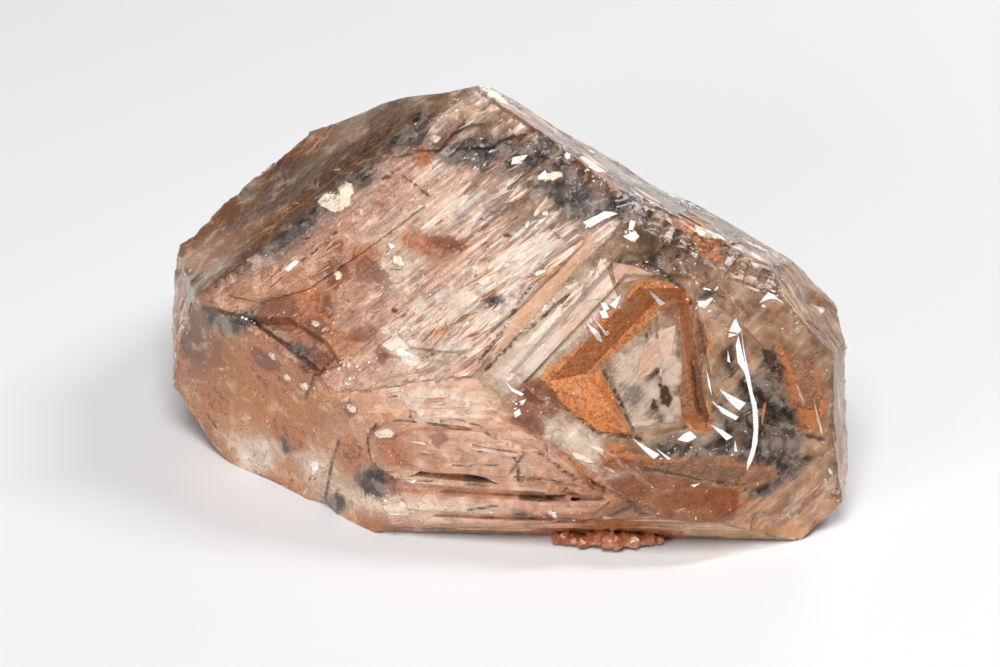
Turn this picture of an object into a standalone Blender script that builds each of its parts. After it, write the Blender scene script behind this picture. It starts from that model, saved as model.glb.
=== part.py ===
"""Window quartz: one squat quartz crystal lying on a flat growth face.

Its corners and edges outgrew its faces, so one face is left as a hollow with stepped walls (the
window), the big upper face is combed by growth steps, and the front is a stack of terraces. All of
it grew as one piece, so it is one solid.

Each flat face is given as a crystallographer would give it: which way it looks, and how far it lies
from the crystal's heart. What is on a face is given in that face's own plane: across it, up it, and
out of it.
"""

from math import pi, radians, sin, sqrt
from random import Random

import bmesh
import bpy
from mathutils import Euler, Matrix, Vector

NAME = "window_quartz_crystal"
MM = 0.001  # every size below is in millimetres

# The heart of the crystal. The finished crystal stands on z = 0, under the middle of its box.
HEART = Vector((0.5, -6.1, 14.0))
ROUGH_BLOCK = 140.0
WORN_EDGE = 0.3

# Bearing: 0 looks to the front (-Y) and 90 to the right (+X). Lift: its tilt above level. Reach: its
# distance from the heart.
FACES = {
    "great_face": (-22, 48, 12.1),
    "window_face": (7, 29, 12.7),
    "terraced_face": (-9, 10, 13.6),
    "brown_face": (-38, -2, 19.0),
    "resting_face": (180, -90, 14.0),
    "long_bevel": (-92, 56, 21.6),
    "left_sliver": (-78, 11, 30.7),
    "fluted_face": (42, 58, 19.4),
    "top_right_band": (112, 60, 20.4),
    "shoulder": (83, 44, 25.7),
    "right_band": (74, 9, 32.6),
    "frosted_corner": (21, 2, 23.1),
    "under_window": (2, -27, 20.4),
    "under_terraces": (-2, -35, 19.1),
    "back_left": (-129, 32, 29.9),
    "back_top_left": (-162, 43, 26.1),
    "back_crown": (-177, 50, 24.2),
    "back_right": (142, 37, 19.4),
    "back_shoulder": (127, 27, 24.5),
    "back_right_side": (104, -6, 30.1),
    "back_face": (170, -5, 25.5),
    "back_left_side": (-107, -11, 33.9),
    "under_left": (-76, -31, 31.6),
    "under_left_front": (-66, -44, 28.6),
    "under_right": (65, -42, 33.0),
    "under_back": (170, -50, 21.5),
}

# Growth plates stand out of a face: its outline on the face (across, up), and its height.
PLATES = {
    "crown_plate": (
        "great_face",
        [(-11.0, 13.6), (-9.6, 16.6), (-6.9, 19.6), (-3.4, 18.9), (-1.2, 17.2), (-3.2, 15.6), (-7.6, 14.4)],
        0.55,
    ),
    "pale_plate": (
        "great_face",
        [
            (0.2, -4.7), (2.0, -2.2), (3.7, 0.4), (5.4, 3.2), (8.6, 8.6), (7.4, 9.8),
            (2.4, 4.0), (-1.0, 1.4), (-5.2, -1.5), (-7.4, -4.4), (-5.6, -5.6), (-2.4, -5.3),
        ],
        0.6,
    ),
    "left_plate": (
        "great_face",
        [(-25.8, -4.6), (-21.6, -4.6), (-17.4, -2.2), (-12.6, 3.2), (-8.2, 8.6), (-10.2, 9.4), (-15.6, 4.2), (-21.4, -1.4)],
        0.35,
    ),
    "long_terrace": (
        "terraced_face",
        [
            (-8.4, -2.2), (-10.7, -3.1), (-12.0, -5.6), (-11.7, -8.0), (-9.1, -9.8),
            (-1.0, -9.6), (7.6, -9.2), (9.4, -7.6), (5.2, -3.6), (0.6, -1.5),
        ],
        0.75,
    ),
    "inner_terrace": (
        "terraced_face",
        [(-7.4, -3.6), (-9.6, -5.0), (-9.2, -7.2), (-4.2, -8.2), (2.6, -7.6), (4.2, -4.8), (0.2, -2.9)],
        1.25,
    ),
    "low_terrace": (
        "terraced_face",
        [(-8.0, -12.6), (-9.0, -10.9), (-3.0, -10.7), (6.0, -10.1), (12.4, -9.6), (11.0, -10.9), (3.0, -12.2)],
        0.5,
    ),
    "arrow_terrace": (
        "terraced_face",
        [(5.8, -3.9), (11.6, -9.0), (9.4, -9.2), (6.2, -7.3)],
        1.1,
    ),
    "hillock": (
        "window_face",
        [(8.3, 8.4), (10.6, 6.9), (8.2, 5.2), (3.4, 0.6), (0.4, -0.6), (1.6, 1.8)],
        0.25,
    ),
    "back_terrace": (
        "back_right",
        [(-14.0, -6.0), (-5.0, -17.0), (7.0, -15.0), (13.0, -4.0), (6.0, 6.0), (-6.0, -1.0)],
        0.6,
    ),
    "back_inner_terrace": (
        "back_right",
        [(-9.0, -6.5), (-3.5, -12.5), (4.5, -11.5), (7.5, -4.0), (3.0, 1.0), (-4.0, -3.0)],
        1.1,
    ),
    "back_low_plate": (
        "back_face",
        [(-9.5, -3.2), (-1.0, -3.6), (2.0, 0.8), (0.0, 2.8), (-6.5, -0.6)],
        0.5,
    ),
    "left_side_plate": (
        "back_left_side",
        [(-15.0, -0.8), (-10.0, -4.6), (0.0, -4.8), (4.0, 0.0), (-1.0, 6.2), (-8.0, 3.2)],
        0.5,
    ),
    "back_left_plate": (
        "back_left",
        [(-5.5, -14.5), (-3.4, -21.0), (3.6, -17.4), (7.0, -14.2), (0.5, -8.6)],
        0.45,
    ),
}
PLATE_FOOT = 0.4
PLATE_LEAN = 0.06  # how much smaller a plate's top is than its foot, for each millimetre of height

# Sunk fields and hollows: outline at the face, outline of the floor (or how much of the outline it
# keeps), and depth.
HOLLOWS = {
    "window_field": (
        "window_face",
        [(-1.8, -1.9), (10.3, 9.4), (19.8, 2.8), (25.4, -3.4), (27.6, -9.4), (19.8, -14.4), (12.0, -14.8)],
        0.96,
        0.5,
    ),
    "window_step": (
        "window_face",
        [(-0.6, -3.0), (10.2, 7.0), (16.7, 6.5), (18.9, -8.6), (9.8, -9.8)],
        0.95,
        1.1,
    ),
    "window": (
        "window_face",
        [(0.3, -3.2), (10.5, 6.0), (16.1, 5.6), (18.0, -8.4), (9.9, -9.0)],
        [(6.2, -2.9), (13.5, 3.8), (15.6, 3.6), (16.6, -7.6), (10.4, -8.0)],
        3.6,
    ),
    "rim_notch": (
        "great_face",
        [(-22.6, -6.2), (-19.6, -7.6), (-14.6, -9.6), (-13.7, -10.2), (-11.6, -8.6), (-14.0, -6.6), (-18.6, -5.2)],
        0.8,
        0.9,
    ),
    "broken_hollow": (
        "great_face",
        [(-11.0, -9.6), (-8.4, -6.6), (-5.4, -6.2), (-1.4, -5.9), (-3.4, -7.4), (-7.4, -9.2)],
        0.75,
        0.5,
    ),
    "back_window": (
        "back_face",
        [(4.5, -2.8), (16.0, -3.2), (11.5, 5.6)],
        0.35,
        1.8,
    ),
    "left_side_hollow": (
        "back_left_side",
        [(-11.0, -0.8), (-8.6, -3.2), (-1.0, -3.2), (1.0, 0.2), (-1.8, 3.4)],
        0.6,
        1.1,
    ),
}
HEADROOM = 2.0  # how far a cutter stands out of the face that it cuts

# Growth steps comb a face. Face, middle of the deep edge (across, up), turn, length, width, depth.
# The outline is a blade: a straight deep edge along y = 0, and a shallow side that tapers.
STEP_OUTLINE = [(-0.5, 0.0), (0.5, 0.0), (0.34, 0.6), (0.06, 1.0), (-0.2, 0.7), (-0.38, 0.8)]
GROWTH_STEPS = [
    ("great_face", -22.2, -1.0, 50, 11.0, 1.6, 0.35),
    ("great_face", -15.2, 8.4, 51, 13.0, 1.9, 0.45),
    ("great_face", -13.2, 7.4, 51, 9.0, 1.3, 0.35),
    ("great_face", -6.6, 15.0, 54, 7.0, 1.5, 0.45),
    ("great_face", -2.0, 15.2, 55, 6.0, 1.3, 0.5),
    ("great_face", 1.2, 14.2, 56, 6.5, 1.4, 0.5),
    ("great_face", -11.6, -1.4, 50, 9.0, 1.6, 0.4),
    ("great_face", -8.4, -0.6, 51, 8.0, 1.2, 0.35),
    ("great_face", -4.6, 3.4, 53, 10.0, 1.5, 0.4),
    ("great_face", -2.6, 6.6, 54, 9.0, 1.3, 0.35),
    ("great_face", 1.4, 6.4, 55, 9.5, 1.4, 0.4),
    ("great_face", 4.0, 9.8, 56, 6.5, 1.2, 0.35),
    ("great_face", 5.9, 0.6, 60, 12.0, 0.9, 0.4),
    ("terraced_face", -3.0, -8.9, 1, 9.0, 0.9, 0.35),
    ("terraced_face", 2.0, -10.4, 3, 14.0, 0.8, 0.4),
    ("terraced_face", 2.5, -13.0, 4, 17.0, 0.9, 0.4),
    ("brown_face", -12.0, 3.6, -14, 13.0, 1.2, 0.35),
    ("long_bevel", -7.4, -8.0, -69, 20.0, 1.6, 0.4),
    ("back_left", 2.4, -18.6, 38, 13.0, 1.6, 0.5),
    ("back_left", 0.0, -15.4, 38, 14.0, 1.4, 0.4),
    ("back_right", -12.5, -10.5, -52, 13.0, 1.8, 0.5),
    ("back_right", 10.5, 3.5, -52, 13.0, 1.8, 0.5),
    ("back_right_side", -6.0, -3.0, 8, 18.0, 1.5, 0.45),
    ("back_right_side", -4.0, 0.6, 8, 14.0, 1.2, 0.4),
    ("back_face", 19.5, 0.0, -24, 10.0, 1.4, 0.45),
    ("under_back", 4.0, 9.0, 4, 26.0, 2.2, 0.5),
]

# Flutes: short V grooves that crinkle the fluted face and the top of the window face. Face, middle of
# the first, middle of the last, turn, count, length, depth.
FLUTE_BLOCK = 1.0
FLUTE_SWING = 9.0
FLUTE_ROWS = {
    "window_flutes": ("window_face", (14.6, 8.0), (21.2, 3.0), -68, 8, 2.4, 0.5),
    "upper_flutes": ("fluted_face", (7.4, -1.2), (14.6, -11.4), 28, 9, 2.8, 0.45),
}

# Chips: shell-shaped bites out of an edge. Face, middle (across, up), radius, bite.
CHIPS = [
    ("great_face", -17.7, 7.9, 2.2, 0.45),
    ("great_face", 2.0, 17.4, 2.4, 0.55),
    ("great_face", 4.7, 16.2, 1.9, 0.6),
    ("great_face", 6.6, 15.0, 1.6, 0.5),
    ("great_face", 9.2, 13.4, 2.0, 0.5),
    ("great_face", 11.2, 11.4, 1.7, 0.5),
    ("great_face", -5.2, 20.6, 1.8, 0.4),
    ("fluted_face", 12.2, -6.4, 3.2, 0.6),
    ("fluted_face", 15.2, -13.4, 2.0, 0.5),
    ("shoulder", 1.0, -16.0, 4.0, 0.5),
    ("frosted_corner", 17.0, -11.8, 1.9, 0.6),
    ("frosted_corner", 23.0, -13.4, 2.2, 0.5),
    ("frosted_corner", 25.2, -10.4, 1.8, 0.5),
    ("frosted_corner", 25.0, -7.0, 1.4, 0.4),
    ("brown_face", -18.6, -11.4, 5.0, 0.5),
    ("brown_face", -9.0, -13.4, 6.0, 0.6),
    ("left_sliver", -15.4, -3.4, 2.6, 0.4),
    ("back_crown", 3.6, 4.6, 2.6, 0.5),
    ("back_right", 19.4, -3.0, 3.4, 0.6),
    ("back_face", 27.4, 1.0, 3.6, 0.6),
    ("back_right_side", 9.6, -4.4, 3.0, 0.6),
    ("under_back", -18.0, 7.0, 4.5, 0.7),
    ("back_left_side", -17.6, 0.4, 2.8, 0.5),
]
CHIP_ROUNDS = 2

# A crust of small crystals under the front edge.
CRUST_LEFT = Vector((5.0, -21.0, 0.0))
CRUST_RIGHT = Vector((15.0, -21.2, 0.0))
CRUST_COUNT = 13
CRUST_GRAIN = (0.8, 1.3)
CRUST_SWELL = 0.9

QUARTZ_COLOUR = (0.66, 0.43, 0.30, 1.0)
QUARTZ_ROUGHNESS = 0.2
QUARTZ_IOR = 1.544


def clear_scene():
    for old in list(bpy.data.objects):
        bpy.data.objects.remove(old)


def new_collection(name):
    collection = bpy.data.collections.new(name)
    bpy.context.scene.collection.children.link(collection)
    return collection


def quartz_material():
    material = bpy.data.materials.new("iron-stained quartz")
    material.use_nodes = True
    surface = material.node_tree.nodes["Principled BSDF"]
    surface.inputs["Base Color"].default_value = QUARTZ_COLOUR
    surface.inputs["Roughness"].default_value = QUARTZ_ROUGHNESS
    surface.inputs["Metallic"].default_value = 0.0
    surface.inputs["IOR"].default_value = QUARTZ_IOR
    return material


def on_face(face, across=0.0, up=0.0, out=0.0, turn=0.0):
    """The place on a face: X runs across it to the right, Y up it and Z out of the crystal."""
    bearing, lift, reach = FACES[face]
    stand = Matrix.Rotation(radians(bearing), 4, "Z") @ Matrix.Rotation(radians(90 - lift), 4, "X")
    place = Matrix.Translation((across, up, reach + out))
    return Matrix.Translation(HEART) @ stand @ place @ Matrix.Rotation(radians(turn), 4, "Z")


def finish_object(name, mesh_cage, collection):
    """Puts a shape that was drawn in millimetres into the scene, in metres."""
    bmesh.ops.recalc_face_normals(mesh_cage, faces=mesh_cage.faces[:])
    bmesh.ops.scale(mesh_cage, vec=(MM, MM, MM), verts=mesh_cage.verts[:])
    mesh = bpy.data.meshes.new(name)
    mesh_cage.to_mesh(mesh)
    mesh_cage.free()
    made = bpy.data.objects.new(name, mesh)
    collection.objects.link(made)
    return made


def cut_body(collection):
    """A block cut by every face of the crystal in turn."""
    block = bmesh.new()
    bmesh.ops.create_cube(block, size=ROUGH_BLOCK)
    for face in FACES:
        plane = on_face(face)
        everything = block.verts[:] + block.edges[:] + block.faces[:]
        cut = bmesh.ops.bisect_plane(
            block,
            geom=everything,
            plane_co=plane.translation,
            plane_no=plane.col[2].to_3d(),
            clear_outer=True,
        )
        rim = [part for part in cut["geom_cut"] if isinstance(part, bmesh.types.BMEdge)]
        bmesh.ops.contextual_create(block, geom=rim)
    body = finish_object(NAME, block, collection)
    wear = body.modifiers.new("worn edges", "BEVEL")
    wear.width = WORN_EDGE * MM
    wear.segments = 1
    wear.limit_method = "ANGLE"
    wear.angle_limit = radians(12)
    return body


def add_stack(group, levels):
    """Adds a closed solid that runs through outlines lying one over another, and gives its corners."""
    height, outline = levels[0]
    ring = bmesh.ops.create_circle(group, cap_ends=True, segments=len(outline), radius=1.0)["verts"]
    for corner, point in zip(ring, outline):
        corner.co = (*point, height)
    corners = list(ring)
    cap = ring[0].link_faces[:]
    inner_caps = []
    for height, outline in levels[1:]:
        grown = bmesh.ops.extrude_face_region(group, geom=cap)["geom"]
        raised = {part for part in grown if isinstance(part, bmesh.types.BMVert)}
        cap = [part for part in grown if isinstance(part, bmesh.types.BMFace)]
        inner_caps += cap
        ring = [next(e.other_vert(c) for e in c.link_edges if e.other_vert(c) in raised) for c in ring]
        for corner, point in zip(ring, outline):
            corner.co = (*point, height)
        corners += ring
    bmesh.ops.delete(group, geom=inner_caps[:-1], context="FACES_ONLY")
    sides = {side for corner in corners for side in corner.link_faces}
    bmesh.ops.triangulate(group, faces=list(sides))
    return corners


def shrunk(outline, keep):
    middle = sum((Vector(point) for point in outline), Vector((0.0, 0.0))) / len(outline)
    return [tuple(middle + (Vector(point) - middle) * keep) for point in outline]


def plate(name, collection):
    face, outline, height = PLATES[name]
    solid = bmesh.new()
    add_stack(solid, [(-PLATE_FOOT, outline), (height, shrunk(outline, 1.0 - PLATE_LEAN * height))])
    bmesh.ops.transform(solid, matrix=on_face(face), verts=solid.verts[:])
    return finish_object(name, solid, collection)


def hollow(name, collection):
    face, outline, floor, depth = HOLLOWS[name]
    floor_outline = shrunk(outline, floor) if isinstance(floor, float) else floor
    solid = bmesh.new()
    add_stack(solid, [(HEADROOM, outline), (0.0, outline), (-depth, floor_outline)])
    bmesh.ops.transform(solid, matrix=on_face(face), verts=solid.verts[:])
    return finish_object(name, solid, collection)


def growth_steps(collection):
    """Blades with slanting undersides, each of which leaves a step that is deep along one edge."""
    group = bmesh.new()
    for face, across, up, turn, length, width, depth in GROWTH_STEPS:
        outline = [(length * x, width * y) for x, y in STEP_OUTLINE]
        corners = add_stack(group, [(0.0, outline), (HEADROOM, outline)])
        for corner in corners:
            corner.co.z -= depth * (1.0 - corner.co.y / width)
        bmesh.ops.transform(group, matrix=on_face(face, across, up, turn=turn), verts=corners)
    return finish_object("growth_steps", group, collection)


def flutes(name, collection):
    """Square bars lying on one edge, each of which leaves a V groove."""
    face, first, last, turn, count, length, depth = FLUTE_ROWS[name]
    group = bmesh.new()
    swing = Random(5)
    for index in range(count):
        across, up = Vector(first).lerp(Vector(last), index / (count - 1))
        block = FLUTE_BLOCK * swing.uniform(0.7, 1.3)
        out = block * sqrt(0.5) - depth * swing.uniform(0.6, 1.1)
        swung = turn + swing.uniform(-FLUTE_SWING, FLUTE_SWING)
        size = Matrix.Diagonal((length * swing.uniform(0.6, 1.3), block, block, 1.0))
        place = on_face(face, across, up, out, swung) @ Matrix.Rotation(radians(45), 4, "X")
        bmesh.ops.create_cube(group, size=1.0, matrix=place @ size)
    return finish_object(name, group, collection)


def chips(collection):
    """Stretched balls, each of which leaves a shell-shaped bite."""
    swing = Random(8)
    for number, (face, across, up, radius, bite) in enumerate(CHIPS):
        place = on_face(face, across, up, radius - bite, swing.uniform(0.0, 180.0))
        stretch = Matrix.Diagonal((swing.uniform(1.1, 1.6), swing.uniform(0.7, 0.95), 1.0, 1.0))
        ball = bmesh.new()
        bmesh.ops.create_icosphere(ball, subdivisions=CHIP_ROUNDS, radius=radius, matrix=place @ stretch)
        yield finish_object(f"chip_{number}", ball, collection)


def crust(collection):
    """Small crystals under the front edge, each standing on the ground."""
    group = bmesh.new()
    grow = Random(11)
    for index in range(CRUST_COUNT):
        along = index / (CRUST_COUNT - 1)
        grain = grow.uniform(*CRUST_GRAIN) * (0.6 + 0.4 * sin(pi * along))
        middle = CRUST_LEFT.lerp(CRUST_RIGHT, along)
        middle.y -= CRUST_SWELL * sin(pi * along) * grow.uniform(0.4, 1.0)
        middle.z = grain
        turn = Euler([grow.uniform(0, pi) for _ in range(3)]).to_matrix().to_4x4()
        place = Matrix.Translation(middle) @ turn
        bmesh.ops.create_icosphere(group, subdivisions=1, radius=grain, matrix=place)
    return finish_object("crust", group, collection)


def join_to(body, other, operation):
    step = body.modifiers.new(other.name, "BOOLEAN")
    step.operation = operation
    step.solver = "EXACT"
    step.use_self = True
    step.object = other
    other.hide_render = True
    other.display_type = "WIRE"


def main():
    clear_scene()
    crystal = new_collection(NAME)
    tools = new_collection("growth and wear")
    tools.hide_render = True
    body = cut_body(crystal)
    body.data.materials.append(quartz_material())
    join_to(body, crust(tools), "UNION")
    for name in PLATES:
        join_to(body, plate(name, tools), "UNION")
    for name in FLUTE_ROWS:
        join_to(body, flutes(name, tools), "DIFFERENCE")
    for name in HOLLOWS:
        join_to(body, hollow(name, tools), "DIFFERENCE")
    join_to(body, growth_steps(tools), "DIFFERENCE")
    for chip in chips(tools):
        join_to(body, chip, "DIFFERENCE")


main()
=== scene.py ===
# %% [markdown]
# # A window quartz crystal
# This lesson dresses one natural crystal: a squat quartz whose corners outgrew its faces. One face is
# left as a stepped hollow lined with orange clay, the big upper face is combed by growth lines, and
# milky veils and rust cloud the clear quartz. The crystal stays one piece. A finer copy of its mesh,
# thin plates and small chips give it the skin that a faceted solid is too coarse for.

# %% Load the crystal
import math
import random

import bmesh
import bpy
import numpy as np
from mathutils import Matrix, Vector, noise
from mathutils.bvhtree import BVHTree


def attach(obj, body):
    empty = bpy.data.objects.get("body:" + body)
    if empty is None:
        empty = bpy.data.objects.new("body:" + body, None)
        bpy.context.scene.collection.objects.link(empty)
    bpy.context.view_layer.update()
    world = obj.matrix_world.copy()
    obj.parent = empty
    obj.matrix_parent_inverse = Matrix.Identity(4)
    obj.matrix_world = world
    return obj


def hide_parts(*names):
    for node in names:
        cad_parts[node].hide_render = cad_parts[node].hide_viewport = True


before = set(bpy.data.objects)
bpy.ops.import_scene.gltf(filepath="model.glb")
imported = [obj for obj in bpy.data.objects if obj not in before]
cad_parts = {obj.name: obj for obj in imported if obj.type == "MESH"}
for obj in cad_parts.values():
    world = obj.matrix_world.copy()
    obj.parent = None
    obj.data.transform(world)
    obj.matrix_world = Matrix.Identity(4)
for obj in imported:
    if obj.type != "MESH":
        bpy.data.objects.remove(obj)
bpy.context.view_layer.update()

MM = 0.001

# %% [markdown]
# ## Where the faces are
# A crystal is easiest to think of as a heart with flat faces round it. Each face has a bearing (0
# looks to the front and 90 to the right), a lift above level, and a reach from the heart in
# millimetres. Every piece and every pattern below is placed across, up and out of one of these faces.

# %% The faces
HEART = Vector((0.5, -6.1, 14.0)) * MM
FACES = {
    # face: (bearing, lift, reach)
    "great": (-22, 48, 12.1),
    "window": (7, 29, 12.7),
    "terraced": (-9, 10, 13.6),
    "brown": (-38, -2, 19.0),
    "bevel": (-92, 56, 21.6),
    "sliver": (-78, 11, 30.7),
    "fluted": (42, 58, 19.4),
    "top_band": (112, 60, 20.4),
    "shoulder": (83, 44, 25.7),
    "right_band": (74, 9, 32.6),
    "corner": (21, 2, 23.1),
    "back_left": (-129, 32, 29.9),
    "back_top_left": (-162, 43, 26.1),
    "back_right": (142, 37, 19.4),
    "back_right_side": (104, -6, 30.1),
    "back": (170, -5, 25.5),
    "back_left_side": (-107, -11, 33.9),
    "under": (180, -90, 14.0),
    "under_front": (0, -31, 19.8),
}


def on_face(face, across=0.0, up=0.0, out=0.0, turn=0.0):
    """The place on a face: X runs across it to the right, Y up it and Z out of the crystal."""
    bearing, lift, reach = FACES[face]
    upright = Matrix.Rotation(math.radians(90 - lift), 4, "X")
    stand = Matrix.Rotation(math.radians(bearing), 4, "Z") @ upright
    place = Matrix.Translation(Vector((across, up, reach + out)) * MM)
    return Matrix.Translation(HEART) @ stand @ place @ Matrix.Rotation(math.radians(turn), 4, "Z")


def face_places(points, face):
    """The places of points across, up and out of a face, in millimetres."""
    stand = on_face(face)
    return (points - np.array(stand.translation)) @ np.array(stand.to_3x3()) / MM


print("faces with a bearing, a lift and a reach:", len(FACES))

# %% [markdown]
# ## Camera, floor and light
# The specimen is looked down on at 35 degrees through a long lens. The floor is plain and pale, and
# four soft panels light it, because clear quartz shows mostly what stands round it.

# %% Camera
VIEW_LIFT = math.radians(35)
VIEW_DISTANCE = 450 * MM
AIM = Vector((-0.58, -8.1, 16.04)) * MM
camera_data = bpy.data.cameras.new("camera")
camera_data.sensor_width = 36
camera_data.lens = 165
camera_data.clip_start = 0.01
camera = bpy.data.objects.new("camera", camera_data)
bpy.context.scene.collection.objects.link(camera)
camera.location = AIM + VIEW_DISTANCE * Vector((0, -math.cos(VIEW_LIFT), math.sin(VIEW_LIFT)))
camera.rotation_euler = (math.pi / 2 - VIEW_LIFT, 0, 0)
bpy.context.scene.camera = camera
print("camera at", [round(value / MM) for value in camera.location], "mm")

# %% Floor
FLOOR_SIZE = 4
FLOOR_GREY = (0.74, 0.74, 0.75, 1)
bpy.ops.mesh.primitive_plane_add(size=FLOOR_SIZE, location=(0, 0, 0))
floor = bpy.context.object
floor.name = "floor"
floor_paint = bpy.data.materials.new("pale floor")
floor_paint.use_nodes = True
floor_surface = floor_paint.node_tree.nodes["Principled BSDF"]
floor_surface.inputs["Base Color"].default_value = FLOOR_GREY
floor_surface.inputs["Roughness"].default_value = 0.55
floor.data.materials.append(floor_paint)
print("floor:", FLOOR_SIZE, "m wide")

# %% Light
PANEL_DISTANCE = 0.6
PANELS = [
    # name, bearing, lift, size, power
    ("top panel", -5, 66, (0.26, 0.26), 3.2),
    ("front panel", -42, 20, (0.30, 0.20), 1.3),
    ("right strip", 104, 50, (0.08, 0.26), 1.6),
    ("back strip", 155, 14, (0.30, 0.08), 0.9),
]
ROOM_LIGHT = 0.04


def soft_panel(name, bearing, lift, size, power):
    """A soft light that stands at a bearing and a lift round the crystal, and faces it."""
    data = bpy.data.lights.new(name, "AREA")
    data.shape = "RECTANGLE"
    data.size, data.size_y = size
    data.energy = power
    panel = bpy.data.objects.new(name, data)
    bpy.context.scene.collection.objects.link(panel)
    bearing, lift = math.radians(bearing), math.radians(lift)
    level = Vector((math.sin(bearing), -math.cos(bearing), 0)) * math.cos(lift)
    towards = level + Vector((0, 0, math.sin(lift)))
    panel.location = AIM + towards * PANEL_DISTANCE
    panel.rotation_euler = towards.to_track_quat("Z", "Y").to_euler()


for panel in PANELS:
    soft_panel(*panel)
bpy.context.scene.view_settings.view_transform = "Standard"
world = bpy.data.worlds.new("studio")
bpy.context.scene.world = world
world.use_nodes = True
world.node_tree.nodes["Background"].inputs["Color"].default_value = (1.0, 1.0, 1.0, 1)
world.node_tree.nodes["Background"].inputs["Strength"].default_value = ROOM_LIGHT
print("soft panels:", len(PANELS))

# %% [markdown]
# ## The crystal's skin
# The node has every flat face and ledge, but its faces are bare. A copy of it is merged and remeshed
# into an even net of small squares, and then each face gets the relief that it grew. The sharp kind
# of remesh is used because it keeps the edges between the faces.

# %% Tools for a piece
def select_only(piece):
    bpy.ops.object.select_all(action="DESELECT")
    piece.select_set(True)
    bpy.context.view_layer.objects.active = piece


def add_modifier(piece, kind, **settings):
    """Adds a modifier, sets it and applies it."""
    select_only(piece)
    modifier = piece.modifiers.new(kind.title(), kind)
    for name, value in settings.items():
        setattr(modifier, name, value)
    bpy.ops.object.modifier_apply(modifier=modifier.name)


def net_points(piece):
    points = np.empty(len(piece.data.vertices) * 3)
    piece.data.vertices.foreach_get("co", points)
    return points.reshape(-1, 3)


# %% Net
NODE = "window_quartz_crystal"
MERGE_DISTANCE = 0.002 * MM
NET_DEPTH = 8
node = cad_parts[NODE]
body = bpy.data.objects.new("quartz_body", node.data.copy())
bpy.context.scene.collection.objects.link(body)
select_only(body)
bpy.ops.object.mode_set(mode="EDIT")
bpy.ops.mesh.select_all(action="SELECT")
bpy.ops.mesh.remove_doubles(threshold=MERGE_DISTANCE)
bpy.ops.object.mode_set(mode="OBJECT")
add_modifier(body, "REMESH", mode="SHARP", octree_depth=NET_DEPTH, scale=0.75, use_remove_disconnected=False)
print("net:", len(body.data.vertices), "points,", len(body.data.polygons), "squares")

# %% [markdown]
# ## Relief
# The great face is combed by growth lines, the terraced face steps down in thin ledges, and the others
# swell or crinkle a little. It could all be sculpted by hand, but a rule gives thousands of such lines
# at once: a noise that is drawn out along the growth lines and, on the combed and terraced faces,
# rounded to levels. The rule gives a height, and the points of the net are moved out of the face by it.

# %% Relief of each kind
LEVELS = 3.5
GREAT_LIE = math.radians(52)


def swell(u, v, across, up, seed):
    """A soft noise. Across and up are the sizes of its swellings in millimetres."""
    return noise.noise(Vector((u / across, v / up, seed)))


def levelled(value):
    """The value rounded to a few levels, as growth plates lie."""
    return math.floor(LEVELS * value + 0.5) / LEVELS


def great_relief(u, v):
    s = u * math.cos(GREAT_LIE) + v * math.sin(GREAT_LIE)
    t = -u * math.sin(GREAT_LIE) + v * math.cos(GREAT_LIE) + 0.5 * swell(u, v, 7, 7, 3.1)
    combs = 0.14 * swell(t, s, 1.1, 9, 5.2) + 0.10 * swell(t, s, 0.55, 5, 8.8)
    return 0.30 * levelled(swell(t, s, 3.2, 9, 1.3)) + combs


def terraced_relief(u, v):
    v += 0.6 * swell(u, v, 5, 5, 7.7)
    return 0.32 * levelled(swell(v, u, 2.4, 10, 2.2)) + 0.10 * swell(v, u, 0.7, 5, 4.1)


def soft_relief(u, v):
    return 0.35 * swell(u, v, 7, 7, 0.4) + 0.05 * swell(u - 0.3 * v, v, 0.8, 6, 1.1)


def crinkled_relief(u, v):
    return 0.22 * swell(u, v, 1.3, 2.2, 9.4) + 0.15 * swell(u, v, 3.5, 3, 2.4)


def window_relief(u, v):
    return 0.06 * swell(u, v, 3, 3, 5.5)


# %% Move the points
RELIEF = {
    "great": great_relief, "terraced": terraced_relief, "brown": soft_relief, "bevel": soft_relief,
    "fluted": crinkled_relief, "corner": window_relief, "window": window_relief, "top_band": soft_relief,
    "back_left": great_relief, "back_right": great_relief, "back": terraced_relief,
    "back_right_side": terraced_relief, "back_left_side": terraced_relief,
}
# The relief has its full height near the face and fades out below it.
NO_RELIEF, FULL_RELIEF = -1.6, -0.9
SMOOTH_ANGLE = math.radians(32)


def smooth_step(low, high, value):
    t = min(1.0, max(0.0, (value - low) / (high - low)))
    return t * t * (3 - 2 * t)


def relieve(piece):
    points = net_points(piece)
    moved = points.copy()
    for face, relief in RELIEF.items():
        outward = np.array(on_face(face).col[2][:3])
        local = face_places(points, face)
        for index in np.flatnonzero(local[:, 2] > NO_RELIEF):
            u, v, out = local[index]
            moved[index] += outward * smooth_step(NO_RELIEF, FULL_RELIEF, out) * relief(u, v) * MM
    piece.data.vertices.foreach_set("co", moved.reshape(-1))
    piece.data.update()
    return np.abs(moved - points).max() / MM


print("highest relief:", round(relieve(body), 2), "mm")
select_only(body)
bpy.ops.object.shade_smooth_by_angle(angle=SMOOTH_ANGLE)

# %% [markdown]
# ## Each face's own colour and grain
# The faces grew at different speeds, so each has its own milkiness, colour and direction of growth
# lines. Each point of the net takes these from the face it lies on.

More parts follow.
